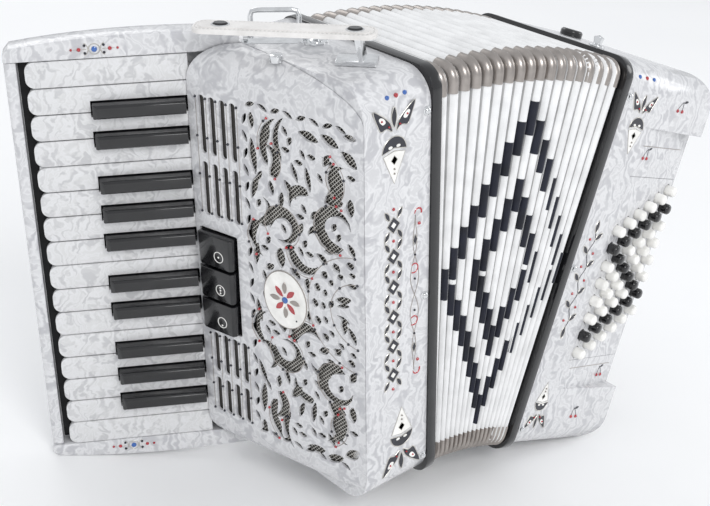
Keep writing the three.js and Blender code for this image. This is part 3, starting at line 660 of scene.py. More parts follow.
def lattice_holes():
    """Rows of small drops that fill the borders between the scrolls."""
    s0, z0, s1, z1 = LACE
    holes = []
    for i in range(20):
        z = z0 + (z1 - z0) * (i + 0.5) / 20
        holes.append(leaf(s0, z, 9, 3.6, 90 + 24 * (-1) ** i))
        if abs(z - ROSETTE[1]) > 46:
            holes.append(leaf(s1, z, 9, 3.8, 90 - 24 * (-1) ** i))
    for i in range(9):
        s = s0 + (s1 - s0) * (i + 0.5) / 9
        for z in (z0 - 5, z1 + 5):
            holes.append(leaf(s, z, 9, 3.6, 24 * (-1) ** i))
    return holes


def grown(loop, factor):
    middle = sum((Vector(p) for p in loop), Vector((0, 0))) / len(loop)
    return [tuple(middle + (Vector(p) - middle) * factor) for p in loop]


def seed_holes(holes):
    """Small drops wherever the larger openings leave room."""
    s0, z0, s1, z1 = LACE
    taken = [Vector(p) for hole in holes for p in hole]
    drops = []
    for row in range(int((z1 - z0 - 12) / SEED_STEP[1]) + 1):
        for column in range(12):
            step = column + 0.5 * (row % 2)
            at = Vector((s0 + 6 + step * SEED_STEP[0], z0 + 6 + row * SEED_STEP[1]))
            if at.x > s1 - 5 or (at - Vector(MEDALLION)).length < SEED_CLEAR:
                continue
            if min((at - p).length for p in taken) > SEED_ROOM:
                drop = leaf(at.x, at.y, 7.5, 4.4, 60 + 60 * ((row + column) % 3))
                drops.append(drop)
                taken += [Vector(p) for p in drop]
    return drops


def mirrored(loop):
    return [(s, 2 * ROSETTE[1] - z) for s, z in loop]


def counterclockwise(loop):
    area = sum(a[0] * b[1] - b[0] * a[1] for a, b in zip(loop, list(loop[1:]) + [loop[0]]))
    return list(loop) if area > 0 else list(reversed(loop))


def pierced_sheet(outline, holes, thickness):
    """A flat sheet in (x, z) with overlapping holes allowed, from y = 0 back to y = thickness."""
    loops = [counterclockwise(loop) for loop in [outline] + holes]
    points = [Vector(p) for loop in loops for p in loop]
    faces = []
    start = 0
    for loop in loops:
        faces.append(list(range(start, start + len(loop))))
        start += len(loop)
    verts, _, triangles, _, _, owners = delaunay_2d_cdt(points, [], faces, 1, 1e-4)
    bm = bmesh.new()
    layers = [[bm.verts.new((v.x, y, v.y)) for v in verts] for y in (0, thickness)]
    for triangle, owner in zip(triangles, owners):
        if owner == [0]:
            for layer in layers:
                bm.faces.new([layer[i] for i in triangle])
    lower = {v: back for v, back in zip(*layers)}
    for edge in [e for e in bm.edges if e.is_boundary and e.verts[0] in lower]:
        one, two = edge.verts
        bm.faces.new((one, two, lower[two], lower[one]))
    bmesh.ops.delete(bm, geom=[v for v in bm.verts if not v.link_faces], context="VERTS")
    bmesh.ops.recalc_face_normals(bm, faces=bm.faces)
    return bm


def slot_holes():
    return [rounded_box(s, z0, s + SLOT_W, z1, 2.2, 4) for s in SLOT_COLUMNS for z0, z1 in SLOT_ROWS]


def make_face():
    s0, z0, s1, z1 = WINDOW
    scrolls = [comma(*shape) for shape in COMMAS] + [leaf(*shape) for shape in LEAVES]
    upper = [grown(hole, 1.2) for hole in scrolls]
    holes = upper + [mirrored(hole) for hole in upper]
    holes += rosette_holes() + slot_holes() + lattice_holes()
    holes = [hole for hole in holes
             if all(s0 + 1 < s < s1 - 1 and z0 + 1 < z < z1 - 1 for s, z in hole)]
    holes += seed_holes(holes)
    well = rounded_box(*SWITCH_WELL, 1.5, 3)
    sheet = pierced_sheet([(s0, z0), (s1, z0), (s1, z1), (s0, z1)], holes + [well], SHEET_T)
    return piece("grille_face", sheet, GRILLE, [PEARL], "treble", 30)


def make_wire_mesh():
    """Silver wires crossing over dark cloth, just behind the pierced face."""
    bm = bmesh.new()
    s0, z0, s1, z1 = 52, 27, 143, 282
    step = 3.1
    reach = (s1 - s0) + (z1 - z0)
    count = int(reach / step)
    for i in range(1, count):
        offset = i * step
        for lean in (1, -1):
            start = max(0, offset - (z1 - z0))
            end = min(s1 - s0, offset)
            if end - start < 1:
                continue
            rise = [(start, offset - start), (end, offset - end)]
            points = [(s0 + u, z0 + v) if lean == 1 else (s0 + u, z1 - v) for u, v in rise]
            depth = 2.5 + 0.25 * lean
            rod(bm, [(s, depth, z) for s, z in points], 0.34, 4)
    return piece("grille_wire_mesh", bm, GRILLE, [SILVER], "treble", 60)


def make_slot_cloth():
    bm = bmesh.new()
    for z0, z1 in ((27, 98), (182, 282)):
        plate(bm, rounded_box(8, z0, 48, z1, 2), 2.6, 3.3, 0, 0.1)
    return piece("grille_slot_cloth", bm, GRILLE, [GRILLE_CLOTH], "treble")


def engraved(bm, points, dot_every=0, colour=1):
    """A brown engraved line, with small stones at its ends."""
    ribbon(bm, points, 0.75, -0.12, 0.02, 0)
    marks = [points[0], points[-1]] + (points[dot_every:-1:dot_every] if dot_every else [])
    for i, (s, z) in enumerate(marks):
        stone(bm, s, z, 0.95, colour if i < 2 else 2)


def make_engraving():
    bm = bmesh.new()
    lines = [arc(80, 200, 15, 215, -60, 16), arc(124, 210, 17, 285, 70, 16), arc(99, 184, 16, 175, 290, 12),
             arc(112, 243, 20.5, -48, 62, 12), arc(86, 256, 24.5, 190, 130, 8), arc(66, 245, 15, -50, 60, 9),
             arc(66, 186, 16.5, 130, 235, 10), arc(131, 245, 13.5, 240, 120, 10)]
    for line in lines:
        for points in (line, mirrored(line)):
            engraved(bm, points, 6, 1)
    for radius in (24.5, 43.5):
        engraved(bm, arc(*ROSETTE, radius, 95, 265, 28), 6, 2)
    for s in [4 + 9 * k + SLOT_W for k in range(5)]:
        for z0, z1 in ((30, 94), (192, 276)):
            engraved(bm, [(s, z0 + (z1 - z0) * i / 6) for i in range(7)], 2, 2)
    ribbon(bm, ring(*MEDALLION, 18.4, 40, 1.18), 0.9, -0.9, -0.3, 0, True)
    return piece("grille_engraving", bm, GRILLE, [CAP_METAL, RED, NAVY], "treble")


def make_medallion():
    """A pearl badge with a plain eight-petalled flower."""
    bm = bmesh.new()
    s, z = MEDALLION
    plate(bm, ring(s, z, 19, 48, 1.16), -0.8, 0.3, 0, 0.6)
    for i in range(8):
        angle = 45 * i
        petal = leaf(*polar(s, z, 8.6 if i % 2 == 0 else 7, angle, 1.1), 9, 4.2, angle)
        plate(bm, petal, -1.15, -0.8, 1 if i % 2 == 0 else 2, 0.2)
    stone(bm, s, z, 2.4, 3, -0.9)
    return piece("grille_medallion", bm, GRILLE, [WHITE, CAP_METAL, RED, BLUE], "treble")


def make_switch_marks():
    """A white ring with dots on each register switch."""
    for name, dots in (("bassoon", (-1,)), ("master", (-1, 0, 1)), ("clarinet", (0,))):
        node_name = f"register_switch_{name}"
        low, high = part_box(node_name)
        middle = GRILLE.inverted() @ ((low + high) / 2)
        s, z = middle.x + 4, middle.z - 3
        bm = bmesh.new()
        ribbon(bm, ring(s, z, 4, 24), 0.6, -6.22, -5.95, 0, True)
        for dot in dots:
            plate(bm, ring(s, z + dot * 2.2, 0.75, 10), -6.22, -5.95, 0, 0.05)
        piece(f"switch_mark_{name}", bm, GRILLE, [WHITE], node_name)


cover = make_cover()
face = make_face()
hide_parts("grille_cover")
make_wire_mesh()
make_slot_cloth()
make_engraving()
make_medallion()
make_switch_marks()


# ---- bellows ----
FAN_ANGLE = TREBLE.to_quaternion().rotation_difference(BASS.to_quaternion()).angle
RIDGE_INSET = 2
VALLEY_INSET = 9
CARD_T = 2.5
foot = TREBLE.inverted() @ (BASS @ Vector((-FRAME_W, 0, 0)))
APEX_Z = foot.z - (foot.x - FRAME_W) / math.tan(FAN_ANGLE)
START_R = -APEX_Z
END_R = (Vector((foot.x, 0, foot.z)) - Vector((FRAME_W, 0, APEX_Z))).length


def rim_points(corner_steps, straight_steps):
    """Points round the bellows' section: (y, z, outward y, outward z), from the front face's foot upwards."""
    points = []
    corners = [(CASE_R, CASE_H - CASE_R, 180, 90), (CASE_D - CASE_R, CASE_H - CASE_R, 90, 0),
               (CASE_D - CASE_R, CASE_R, 0, -90), (CASE_R, CASE_R, -90, -180)]
    previous = (CASE_R, CASE_R, -180)
    for y, z, a0, a1 in corners:
        n = Vector((math.cos(math.radians(a0)), math.sin(math.radians(a0))))
        start = Vector((previous[0], previous[1])) + n * CASE_R
        stop = Vector((y, z)) + n * CASE_R
        for i in range(1, straight_steps):
            p = start.lerp(stop, i / straight_steps)
            points.append((p.x, p.y, n.x, n.y))
        for i in range(corner_steps + 1):
            a = math.radians(a0 + (a1 - a0) * i / corner_steps)
            n = Vector((math.cos(a), math.sin(a)))
            p = Vector((y, z)) + n * CASE_R
            points.append((p.x, p.y, n.x, n.y))
        previous = (y, z, a1)
    return points


def bellows_point(share, inset, rim):
    """A point of the fan in the treble frame: share of the way across, drawn in by inset."""
    y = rim[0] - rim[2] * inset
    z = rim[1] - rim[3] * inset
    radius = START_R + (END_R - START_R) * share + z
    angle = FAN_ANGLE * share
    return Vector((FRAME_W + radius * math.sin(angle), y, APEX_Z + radius * math.cos(angle)))


SECTION = [(0, VALLEY_INSET), (0.14, RIDGE_INSET + 2.6), (0.3, RIDGE_INSET + 0.7), (0.5, RIDGE_INSET),
           (0.7, RIDGE_INSET + 0.7), (0.86, RIDGE_INSET + 2.6)]
# Material per section: 1 is the darker cloth that paints shade on the slopes into the valleys, 0 is the
# cloth's own light grey.
SECTION_PARTS = [1, 0, 0, 0, 0, 1]


def stations():
    """(share, inset, material) across the fan, valley to valley."""
    made = []
    for fold in range(FOLDS):
        for (part, inset), material in zip(SECTION, SECTION_PARTS):
            made.append(((fold + part) / FOLDS, inset, material))
    made.append((1, VALLEY_INSET, 1))
    return made


def make_bellows():
    bm = bmesh.new()
    rims = rim_points(5, 6)
    edge = 0.3 / END_R / FAN_ANGLE
    loops = []
    for share, inset, _ in stations():
        share = edge + share * (1 - 2 * edge)
        loops.append([bm.verts.new(bellows_point(share, inset, rim)) for rim in rims])
    inner = []
    for k in range(3):
        share = edge + k * (1 - 2 * edge) / 2
        inner.append([bm.verts.new(bellows_point(share, VALLEY_INSET + CARD_T, rim)) for rim in rims])
    for (a, b), (_, _, material) in zip(zip(loops, loops[1:]), stations()):
        band(bm, a, b, material)
    # The inner cards and their end walls take the same darker cloth: painted shade for the inside of the
    # bellows.
    for a, b in zip(inner, inner[1:]):
        band(bm, a, b, 1)
    band(bm, loops[0], inner[0], 1)
    band(bm, loops[-1], inner[-1], 1)
    return piece("bellows_folds", bm, TREBLE, [FRONT_CLOTH, CREASE_SHADE_CLOTH], None, 60)


def fold_patch(bm, fold, rims, lift, material):
    """A closed skin over one fold along part of the rim, lift above the cloth and a little under it."""
    across = [((fold + part) / FOLDS, inset) for part, inset in SECTION + [(1, VALLEY_INSET)]]
    margin = 0.03 / FOLDS
    across[0] = (across[0][0] + margin, across[0][1] - 0.7)
    across[-1] = (across[-1][0] - margin, across[-1][1] - 0.7)
    rows = []
    for rim in rims:
        top = [bm.verts.new(bellows_point(share, inset - lift, rim)) for share, inset in across]
        under = [bm.verts.new(bellows_point(share, inset + 0.2, rim)) for share, inset in across]
        rows.append(top + under[::-1])
    skin(bm, rows, material)


CAP_LEG = 7
DIAMOND_MIDDLE = 9
DIAMOND_Z = 150
DIAMOND_STEP = 13.9
BLOCK = 12


def make_diamond():
    """Two nested stepped diamonds of dark cloth on the front folds."""
    bm = bmesh.new()
    for reach in (8, 4):
        for fold in range(DIAMOND_MIDDLE - reach, DIAMOND_MIDDLE + reach + 1):
            away = (reach - abs(fold - DIAMOND_MIDDLE)) * DIAMOND_STEP
            for side in ((1, -1) if away else (1,)):
                middle = DIAMOND_Z + side * away
                rims = [(0, z, -1, 0) for z in (middle - BLOCK, middle, middle + BLOCK)]
                fold_patch(bm, fold, rims, 0.35, 0)
    return piece("bellows_diamond", bm, TREBLE, [NAVY_CLOTH], None, 50)


def corner_rims(y, z, start, end, leg):
    """The rim round one corner, with a short straight leg each way."""
    points = []
    for i in range(7):
        a = math.radians(start + (end - start) * i / 6)
        points.append((y + CASE_R * math.cos(a), z + CASE_R * math.sin(a), math.cos(a), math.sin(a)))
    first, last = points[0], points[-1]
    lead = (first[0] + last[2] * -leg, first[1] + last[3] * -leg, first[2], first[3])
    tail = (last[0] + first[2] * -leg, last[1] + first[3] * -leg, last[2], last[3])
    return [lead] + points + [tail]


def make_corner_caps():
    """Pressed metal caps over every fold at the four corners."""
    bm = bmesh.new()
    far, high = CASE_D - CASE_R, CASE_H - CASE_R
    for y, z, start in ((CASE_R, high, 180), (CASE_R, CASE_R, 270), (far, high, 90), (far, CASE_R, 0)):
        rims = corner_rims(y, z, start, start - 90, CAP_LEG)
        for fold in range(FOLDS):
            fold_patch(bm, fold, rims, 0.5, 0)
    return piece("bellows_corner_caps", bm, TREBLE, [CAP_METAL], None, 50)


bellows = make_bellows()
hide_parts("bellows")
for made in (bellows, make_diamond(), make_corner_caps()):
    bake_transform(made)


make_seam_gussets()


# ---- keyboard ----
def make_key_gap_shade():
    """A dark cloth sheet on the bed under the keys: painted shade for the gaps between them."""
    bm = bmesh.new()
    plate(bm, rounded_box(-3.7, KEYS_BOTTOM + 0.6, 102, KEYS_TOP - 0.6, 1, 3), 11.25, 11.48, 0, 0.05)
    return piece("keyboard_gap_shade", bm, KEYBOARD, [KEY_GAP_SHADE], "treble")


def make_cap_ornament(name, t, z):
    """A blue stone in a silver ring between red stones, with linking lines."""
    bm = bmesh.new()
    ribbon(bm, ring(t, z, 3.6, 24), 0.7, -0.3, 0.1, 0, True)
    stone(bm, t, z, 1.9, 1)
    for side in (-1, 1):
        ribbon(bm, arc(t + 9 * side, z, 5, 90 * side + 30, 90 * side + 150, 9), 0.6, -0.2, 0.1, 0)
        ribbon(bm, [(t + side * 5, z), (t + side * 13, z)], 0.5, -0.2, 0.1, 0)
        stone(bm, t + 10 * side, z, 1.3, 2)
        stone(bm, t + 15 * side, z, 0.9, 2)
        for rise in (-2.6, 2.6):
            stone(bm, t + 6.2 * side, z + rise, 0.9, 3)
    return piece(name, bm, KEYBOARD, [SILVER, BLUE, RED, NAVY], "treble")


make_key_gap_shade()
make_cap_ornament("end_cap_ornament_top", 47, 310.5)
make_cap_ornament("end_cap_ornament_bottom", 47, -1.5)


# ---- inlays on the casing fronts ----
INLAY = [SILVER, NAVY, WHITE, RED, BLUE, CAP_METAL]
RIM, DARK, LIGHT, RUBY, SAPPHIRE, BRONZE = range(6)
WING = [(2, 2), (7, 5), (12, 4), (15, 9), (19, 20), (12, 16), (6, 11), (3, 7)]
LOBE = [(8, 10), (11, 9), (14, 13), (12.5, 14.5), (9.5, 13)]
STONES_Z = 299


def inlay(bm, outline, colour):
    """A flush inlay with a thin silver rim."""
    plate(bm, outline, -0.22, 0.3, colour, 0.15)
    ribbon(bm, outline, 0.7, -0.35, 0.1, RIM, True)


def glint(bm, outline):
    """A light fleck set on a dark inlay."""
    plate(bm, outline, -0.45, -0.2, LIGHT, 0.1)


def butterfly(bm, x, z, size, flip):
    """Spread wings over a half disc and a pointed drop."""
    def put(points):
        return [(x + u * size, z + flip * v * size) for u, v in points]

    for side in (-1, 1):
        wing = [(u * side, v) for u, v in WING]
        inlay(bm, put(smooth_loop(wing, 3)), DARK)
        lobe = [(u * side, v) for u, v in LOBE]
        glint(bm, put(smooth_loop(lobe, 3)))
        for u, v, radius in ((11.5, 11.7, 0.8), (5, 6, 0.7)):
            stone(bm, x + u * side * size, z + flip * v * size, radius, RUBY)
        glint(bm, put(ring(3.6 * side, -9.5, 1.9, 10, 0.6)))
    inlay(bm, put(leaf(0, 12, 15, 5, 90)), DARK)
    inlay(bm, put([(11, -13)] + arc(0, -13, 11, 0, 180, 15)[1:-1] + [(-11, -13), (0, -10.5)]), DARK)
    inlay(bm, put([(-10, -15), (0, -12.8), (10, -15), (0, -37)]), LIGHT)
    inlay(bm, put([(0, -16), (3, -19.5), (0, -23), (-3, -19.5)]), DARK)
    for v in (-26, -29.5):
        stone(bm, x, z + flip * v * size, 0.7, BRONZE)


def lozenge(x, z, width, height):
    return [(x, z + height / 2), (x + width / 2, z), (x, z - height / 2), (x - width / 2, z)]


def garland(bm, x, z0, z1, count):
    """A row of dark lozenges and leaf pairs, in place of lettering."""
    step = (z1 - z0) / count
    for i in range(count):
        z = z0 + step * (i + 0.5)
        inlay(bm, lozenge(x, z, 11, step * 0.52), DARK)
        glint(bm, lozenge(x, z, 4.4, step * 0.2))
        for side in (-1, 1):
            for rise in (-1, 1):
                tip = leaf(x + 5.4 * side, z + rise * step * 0.33, 8, 3.4, 60 * side * rise)
                inlay(bm, tip, DARK)
        stone(bm, x, z + step / 2, 1.1, RUBY)
    stone(bm, x, z0, 1.1, RUBY)


def vine(bm, x, z0, z1, sway):
    """A thin bronze vine with small lozenges and red curls."""
    steps = 48
    for phase in (0, math.pi):
        points = []
        for i in range(steps + 1):
            t = i / steps
            swing = sway * math.sin(4 * math.pi * t + phase) * math.sin(math.pi * t)
            points.append((x + swing, z0 + (z1 - z0) * t))
        ribbon(bm, points, 0.6, -0.25, 0.1, BRONZE)
    middle = (z0 + z1) / 2
    for end, turn in ((z0, -1), (z1, 1)):
        inlay(bm, lozenge(x, end - turn * 18, 4, 8), DARK)
        curl = arc(x + 2.5, end + turn, 3, 180, 180 - 200 * turn, 12)
        ribbon(bm, curl, [0.7 + 0.12 * i for i in range(12)], -0.3, 0.1, RUBY)
        stone(bm, x + 3.4, end - turn * 7, 1.2, RUBY)
    for rise in (-20, 20):
        ribbon(bm, arc(x - 0.5, middle + rise, 3.4, -130, 130, 12), 1.1, -0.3, 0.1, RUBY)
    for rise in (-30, -12, 12, 30):
        stone(bm, x, middle + rise, 0.8, DARK)


def sprig(bm, x, z, lean):
    """Two red fruits on thin stems."""
    for side in (-1, 1):
        stem = [(x + lean * 2, z + 5), (x + side * 1.6 + lean, z + 2.5), (x + side * 3, z - 1)]
        ribbon(bm, stem, 0.5, -0.2, 0.1, DARK)
        stone(bm, x + side * 3, z - 2.4, 1.4, RUBY)
    plate(bm, leaf(x + 3.2 + lean * 2, z + 5, 5, 2, 20), -0.25, 0.1, DARK, 0.1)


def flourish(bm, x, z0, z1):
    """A leafy stem, in place of a name."""
    count = 7
    step = (z1 - z0) / count
    stem = [(x + 2.2 * math.sin(math.pi * i / 4), z0 + (z1 - z0) * i / 28) for i in range(29)]
    ribbon(bm, stem, 0.8, -0.3, 0.1, DARK)
    for i in range(count):
        z = z0 + step * (i + 0.5)
        side = 1 if i % 2 == 0 else -1
        inlay(bm, leaf(x + 5.4 * side, z + 2.4, 9, 4, 90 - 50 * side), DARK)
        stone(bm, x - 4.6 * side, z, 1.1, RUBY)
    inlay(bm, leaf(x, z1 + 4.5, 10, 4.4, 90), DARK)
    inlay(bm, leaf(x, z0 - 4.5, 10, 4.4, 90), DARK)


def curved_front(z):
    """How far back the rounded top of a casing's front lies at height z."""
    over = max(0, z - (CASE_H - COVER_R))
    return COVER_R - math.sqrt(COVER_R * COVER_R - over * over)


def make_treble_inlays():
    bm = bmesh.new()
    for x, colour in ((-34.3, SAPPHIRE), (-27, RUBY), (-19.7, SAPPHIRE)):
        stone(bm, x, STONES_Z, 1.7, colour, curved_front(STONES_Z) + 0.2)
    butterfly(bm, -31.5, 276, 0.92, 1)
    butterfly(bm, -24, 36, 0.92, -1)
    garland(bm, -32, 88, 224, 6)
    vine(bm, -13, 96, 214, 4)
    return piece("treble_inlays", bm, TREBLE, INLAY, "treble")


def make_bass_inlays():
    bm = bmesh.new()
    for x, colour in ((14.3, SAPPHIRE), (23.3, RUBY), (32.3, SAPPHIRE)):
        stone(bm, x, STONES_Z, 1.7, colour, curved_front(STONES_Z) + 0.2)
    butterfly(bm, 24, 272, 0.8, 1)
    butterfly(bm, 19, 33, 0.68, -1)
    flourish(bm, 17, 104, 180)
    sprig(bm, 72, 283, 1)
    sprig(bm, 66, 30, -1)
    return piece("bass_inlays", bm, BASS, INLAY, "bass")


def make_panel_inlays():
    bm = bmesh.new()
    sprig(bm, 14, 243, 1)
    sprig(bm, 58, 62, -1)
    for z in (69, 250):
        ribbon(bm, [(6, z), (70, z)], 0.6, -0.2, 0.05, BRONZE)
    return piece("bass_panel_inlays", bm, PANEL, INLAY, "bass")


make_treble_inlays()
make_bass_inlays()
make_panel_inlays()


# ---- bass buttons ----
BUTTON_ROWS = ["counter", "root", "major", "minor", "seventh", "diminished"]
BUTTONS_PER_ROW = 8
BUTTON_ROW_STEP = 12.6
BUTTON_ROW_RISE = 6.8
BUTTON_STEP = 14.3
BUTTON_FIRST = (6.5, 183)
BUTTON_PROFILE = [(0, -9), (4, -9), (4.2, -8.6), (4.2, 5.4), (4, 6.5), (3.4, 7.3), (2.3, 7.8), (0, 8)]


def make_button_row(row, name):
    bm = bmesh.new()
    for i in range(BUTTONS_PER_ROW):
        dark = i in (1, 6) or (1 <= i <= 6 and row == i - 1)
        u = BUTTON_FIRST[0] + BUTTON_ROW_STEP * row
        z = BUTTON_FIRST[1] - BUTTON_STEP * i + BUTTON_ROW_RISE * row
        lathe(bm, BUTTON_PROFILE, (u, 0, z), sides=20, material=1 if dark else 0)
    node_name = f"bass_buttons_{name}"
    made = piece(f"bass_button_row_{name}", bm, PANEL, [WHITE, BLACK], node_name)
    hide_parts(node_name)


for row, name in enumerate(BUTTON_ROWS):
    make_button_row(row, name)


# ---- fittings; every profile lists (radius, height) ----
PIN_PROFILE = [(0, -0.5), (3.2, -0.5), (3.2, 0.5), (2.2, 0.9), (2.2, 1.8), (1.2, 2.7), (0, 2.9)]
PIN_X = 4.2
PIN_Z = (20, 151, 284)
FERRULE_PROFILE = [(0, 18), (2.2, 18), (2.5, 18.3), (2.5, 20.7), (2.2, 21), (0, 21)]
STUD_PROFILE = [(0, 1.2), (4.6, 1.2), (4.4, 2.2), (2.4, 3), (2, 4.4), (3, 5.6), (2.6, 7), (0, 7.6)]
FOOT_PROFILE = [(0, 0.02), (7, 0.02), (7, 2.6), (6.2, 3.8), (3, 4.1), (2.6, 3.2), (0, 3.2)]
BACK_SCREW_PROFILE = [(0, 0.02), (2.9, 0.02), (2.9, 0.5), (2, 1.1), (0.9, 1.3), (0.7, 0.8), (0, 0.8)]
END_SCREW_PROFILE = [(0, -0.4), (2.4, -0.4), (2, 0.5), (0.8, 0.9), (0, 0.9)]
BACK_PLATE_T = 0.7
END_PLATE_T = 1.5


def make_bellows_pins():
    bm = bmesh.new()
    for y, axis in ((0, (0, -1, 0)), (CASE_D, (0, 1, 0))):
        for z in PIN_Z:
            lathe(bm, PIN_PROFILE, (-PIN_X, y, z), axis, 16)
    piece("treble_bellows_pins", bm.copy(), TREBLE, [CHROME], "treble")
    bm.transform(Matrix.Translation((2 * PIN_X, 0, 0)))
    piece("bass_bellows_pins", bm, BASS, [CHROME], "bass")


def on_top(x, y, rise=0.0, turn=0):
    """A frame for shapes drawn upright and laid flat on the treble casing, turned in plan."""
    place = Matrix.Translation((x, y, CASE_H + rise)) @ Matrix.Rotation(math.radians(turn), 4, "Z")
    return TREBLE @ place @ Matrix.Rotation(-math.pi / 2, 4, "X")


def make_loop_base():
    bm = bmesh.new()
    plate(bm, rounded_box(-23, -5, 23, 5, 4.9), -0.5, -0.02, 0, 0.2)
    for side in (-1, 1):
        lathe(bm, FERRULE_PROFILE, (0, -2.55, 0), (side, 0, 0), 14)
    piece("shoulder_strap_loop_base", bm, on_top(-38, 110, turn=-40), [CHROME], "treble")


def make_stud_plate():
    """A scalloped chrome rosette with a domed stud on the treble top."""
    bm = bmesh.new()
    scallops = []
    for i in range(48):
        a = 2 * math.pi * i / 48
        reach = 8.4 + 0.9 * math.cos(8 * a)
        scallops.append((reach * math.cos(a), reach * 0.8 * math.sin(a)))
    plate(bm, scallops, -1.4, -0.02, 0, 0.5)
    lathe(bm, STUD_PROFILE, (0, 0, 0), sides=20)
    piece("treble_stud_plate", bm, on_top(-20, 90), [CHROME], "treble")


def stitches(bm, points, every, length, lift, material):
    """Short thread loops along a line of (x, z) points, standing lift in front of y = 0."""
    for i in range(0, len(points) - 1, every):
        a = Vector(points[i])
        along = (Vector(points[i + 1]) - a).normalized() * length
        ends = [(a.x, -lift + 0.15, a.y), (a.x + along.x * 0.5, -lift - 0.2, a.y + along.y * 0.5),
                (a.x + along.x, -lift + 0.15, a.y + along.y)]
        rod(bm, ends, 0.28, 5, material)


def evenly(loop, step):
    """Points at equal steps round a closed loop."""
    made = []
    carried = 0.0
    for a, b in zip(loop, loop[1:] + loop[:1]):
        a, b = Vector(a), Vector(b)
        length = (b - a).length
        while carried < length:
            made.append(a.lerp(b, carried / length))
            carried += step
        carried -= length
    return made


STRAP_LOW, STRAP_HIGH = -110, 8
STRAP_HALF = 10
STRAP_T = 3.5


def make_bellows_strap():
    """White leather strap: a sewn body with a raised middle, stitching and two snap caps."""
    bm = bmesh.new()
    plate(bm, rounded_box(STRAP_LOW, -STRAP_HALF, STRAP_HIGH, STRAP_HALF, 8, 8), -STRAP_T + 0.5, 0, 0, 0.7)
    plate(bm, rounded_box(STRAP_LOW + 3.4, -STRAP_HALF + 3.4, STRAP_HIGH - 3.4, STRAP_HALF - 3.4, 5, 8),
          -STRAP_T - 0.1, -STRAP_T + 0.55, 0, 0.9)
    seam = rounded_box(STRAP_LOW + 2, -STRAP_HALF + 2, STRAP_HIGH - 2, STRAP_HALF - 2, 6.2, 8)
    stitches(bm, evenly(seam, 1.4), 2, 1.8, STRAP_T - 0.5, 1)
    for x in (-92, -6):
        plate(bm, ring(x, 0, 5.2, 28, 0.75), -STRAP_T - 1.6, -STRAP_T - 0.05, 2, 1.1)
        ribbon(bm, ring(x, 0, 5.6, 28, 0.77), 1, -STRAP_T - 0.7, -STRAP_T - 0.05, 3, True)
    materials = [WHITE_LEATHER, THREAD, BLACK, CHROME]
    made = piece("bellows_strap_leather", bm, on_top(-24, 36, 19.6, -49), materials, "bellows_strap")
    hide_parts("bellows_strap")


def bezier(a, b, c, d, t):
    u = 1 - t
    return a * u ** 3 + 3 * b * u * u * t + 3 * c * u * t * t + d * t ** 3


STRAP_Y = (84, 138)


def make_bass_strap():
    """Black leather hand strap with rolled edges and stitching, screwed to the outer face at both ends."""
    bm = bmesh.new()
    x = BASS_W + 0.3
    outer = [Vector(p) for p in ((x, 22), (x + 44, 90), (x + 44, 215), (x, 286))]
    inner = [Vector(p) for p in ((x, 46), (x + 35, 100), (x + 35, 205), (x, 262))]
    middle_y = sum(STRAP_Y) / 2
    half = (STRAP_Y[1] - STRAP_Y[0]) / 2
    rings = []
    seams = {-1: [], 1: []}
    steps = 40
    for i in range(steps + 1):
        t = i / steps
        out, back = bezier(*outer, t), bezier(*inner, t)
        thick = min(5.0, (out - back).length)
        inward = (back - out).normalized() * thick
        section = []
        for k in range(24):
            a = 2 * math.pi * k / 24
            c, n = math.cos(a), math.sin(a)
            across = math.copysign(abs(c) ** 0.35, c)
            depth = 0.5 - 0.5 * math.copysign(abs(n) ** 0.7, n)
            p = out + inward * depth
            section.append(bm.verts.new((p.x, middle_y + half * across, p.y)))
        rings.append(section)
        for side in seams:
            seams[side].append(Vector((out.x + 0.15, middle_y + side * (half - 5), out.y)))
    skin(bm, rings)
    for points in seams.values():
        for a, b in zip(points, points[1:]):
            for start in (0.1, 0.6):
                rod(bm, [a.lerp(b, start), a.lerp(b, start + 0.32)], 0.35, 5, 1)
    made = piece("bass_strap_leather", bm, BASS, [BLACK_LEATHER, THREAD], "bass")
    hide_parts("bass_strap")


def make_feet():
    bm = bmesh.new()
    for y in (30, 62):
        for z in (36, 281):
            lathe(bm, FOOT_PROFILE, (BASS_W, y, z), (1, 0, 0))
    piece("bass_rubber_feet", bm, BASS, [RUBBER], "bass")


def back_screws(bm, places, material):
    for x, z in places:
        lathe(bm, BACK_SCREW_PROFILE, (x, CASE_D + BACK_PLATE_T, z), (0, 1, 0), 16, material)


def make_back_plates():
    """Screwed pearl plates on both flat backs, with a dark line round the bass one."""
    bm = bmesh.new()
    plate(bm, rounded_box(14, 20, 98, 289, 9, 5), CASE_D + 0.02, CASE_D + BACK_PLATE_T, 0, 0.3)
    plate(bm, rounded_box(17.4, 23.4, 94.6, 285.6, 6, 5), CASE_D + 0.68, CASE_D + 0.78, 2, 0.02)
    plate(bm, rounded_box(18, 24, 94, 285, 6, 5), CASE_D + BACK_PLATE_T, CASE_D + 0.86, 0, 0.05)
    back_screws(bm, [(x, z) for x in (22, 90) for z in (28, 154, 281)], 1)
    piece("bass_back_plate", bm, BASS, [PEARL, CHROME, BLACK], "bass")
    bm = bmesh.new()
    plate(bm, rounded_box(-51, 18, -6, 291, 6, 5), CASE_D + 0.02, CASE_D + BACK_PLATE_T, 0, 0.3)
    back_screws(bm, [(x, z) for x in (-46, -11) for z in (25, 284)], 1)
    piece("treble_back_plate", bm, TREBLE, [PEARL, CHROME], "treble")


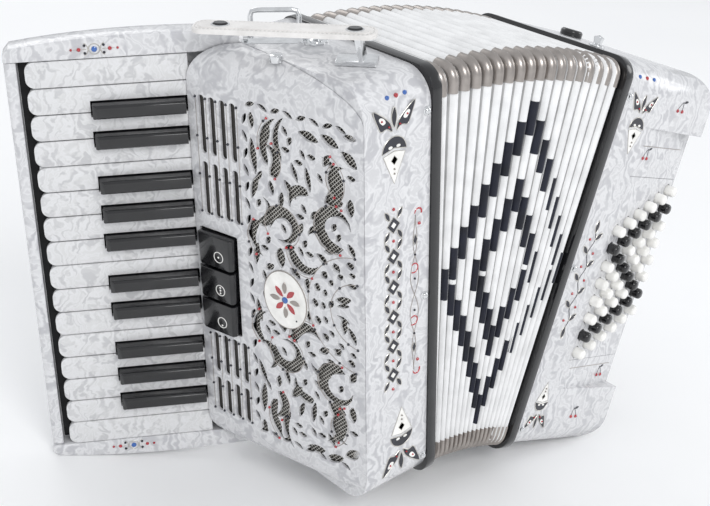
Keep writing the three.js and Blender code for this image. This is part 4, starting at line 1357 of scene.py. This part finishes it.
def make_bass_strap_ends():
    """Chrome end plates over the hand strap's ends."""
    bm = bmesh.new()
    for z in (15.5, 292.5):
        face = -BASS_W - END_PLATE_T
        plate(bm, rounded_box(88, z - 5.5, 134, z + 5.5, 2.5, 4), face, -BASS_W - 0.03, 0, 0.4)
        for y in (96, 111, 126):
            lathe(bm, END_SCREW_PROFILE, (y, face, z), sides=14)
    turn = Matrix(((0, -1, 0, 0), (1, 0, 0, 0), (0, 0, 1, 0), (0, 0, 0, 1)))
    piece("bass_strap_end_plates", bm, BASS @ turn, [CHROME], "bass")


make_back_plates()
make_bass_strap_ends()
make_bellows_pins()
make_loop_base()
make_stud_plate()
make_bellows_strap()
make_bass_strap()
make_feet()


# ---- floor, lights and surroundings ----
# name, place, size in metres and watts
LIGHTS = [("key_light", (-1.0, -2.4, 2.0), 1.2, 34), ("side_light", (2.4, -1.0, 1.2), 1.2, 9),
          ("back_light", (0.3, 2.2, 1.8), 1.4, 8)]
WORLD_STRENGTH = 0.8


def make_stage():
    floor = bpy.data.meshes.new("floor")
    floor.from_pydata([(-6, -6, 0), (6, -6, 0), (6, 6, 0), (-6, 6, 0)], [], [(0, 1, 2, 3)])
    material, tree, bsdf = shader("floor", {"Roughness": 0.6})
    stops = [(0.3, grey(0.94)), (0.7, grey(0.96))]
    tint(tree, bsdf, noise(tree, coordinates(tree), 3).outputs["Fac"], stops)
    floor.materials.append(material)
    made = bpy.data.objects.new("floor", floor)
    bpy.context.scene.collection.objects.link(made)


def make_light(name, at, size, watts):
    data = bpy.data.lights.new(name, "AREA")
    data.shape = "DISK"
    data.size = size
    data.energy = watts
    light = bpy.data.objects.new(name, data)
    light.location = at
    light.rotation_mode = "QUATERNION"
    light.rotation_quaternion = (Vector(at) - Vector((0, 0, 0.15))).to_track_quat("Z", "Y")
    bpy.context.scene.collection.objects.link(light)


def make_world():
    world = bpy.data.worlds.new("studio")
    world.use_nodes = True
    background = world.node_tree.nodes["Background"]
    background.inputs["Color"].default_value = (0.95, 0.97, 1, 1)
    background.inputs["Strength"].default_value = WORLD_STRENGTH
    bpy.context.scene.world = world


bpy.context.scene.view_settings.view_transform = "Standard"
make_stage()
for light in LIGHTS:
    make_light(*light)
make_world()
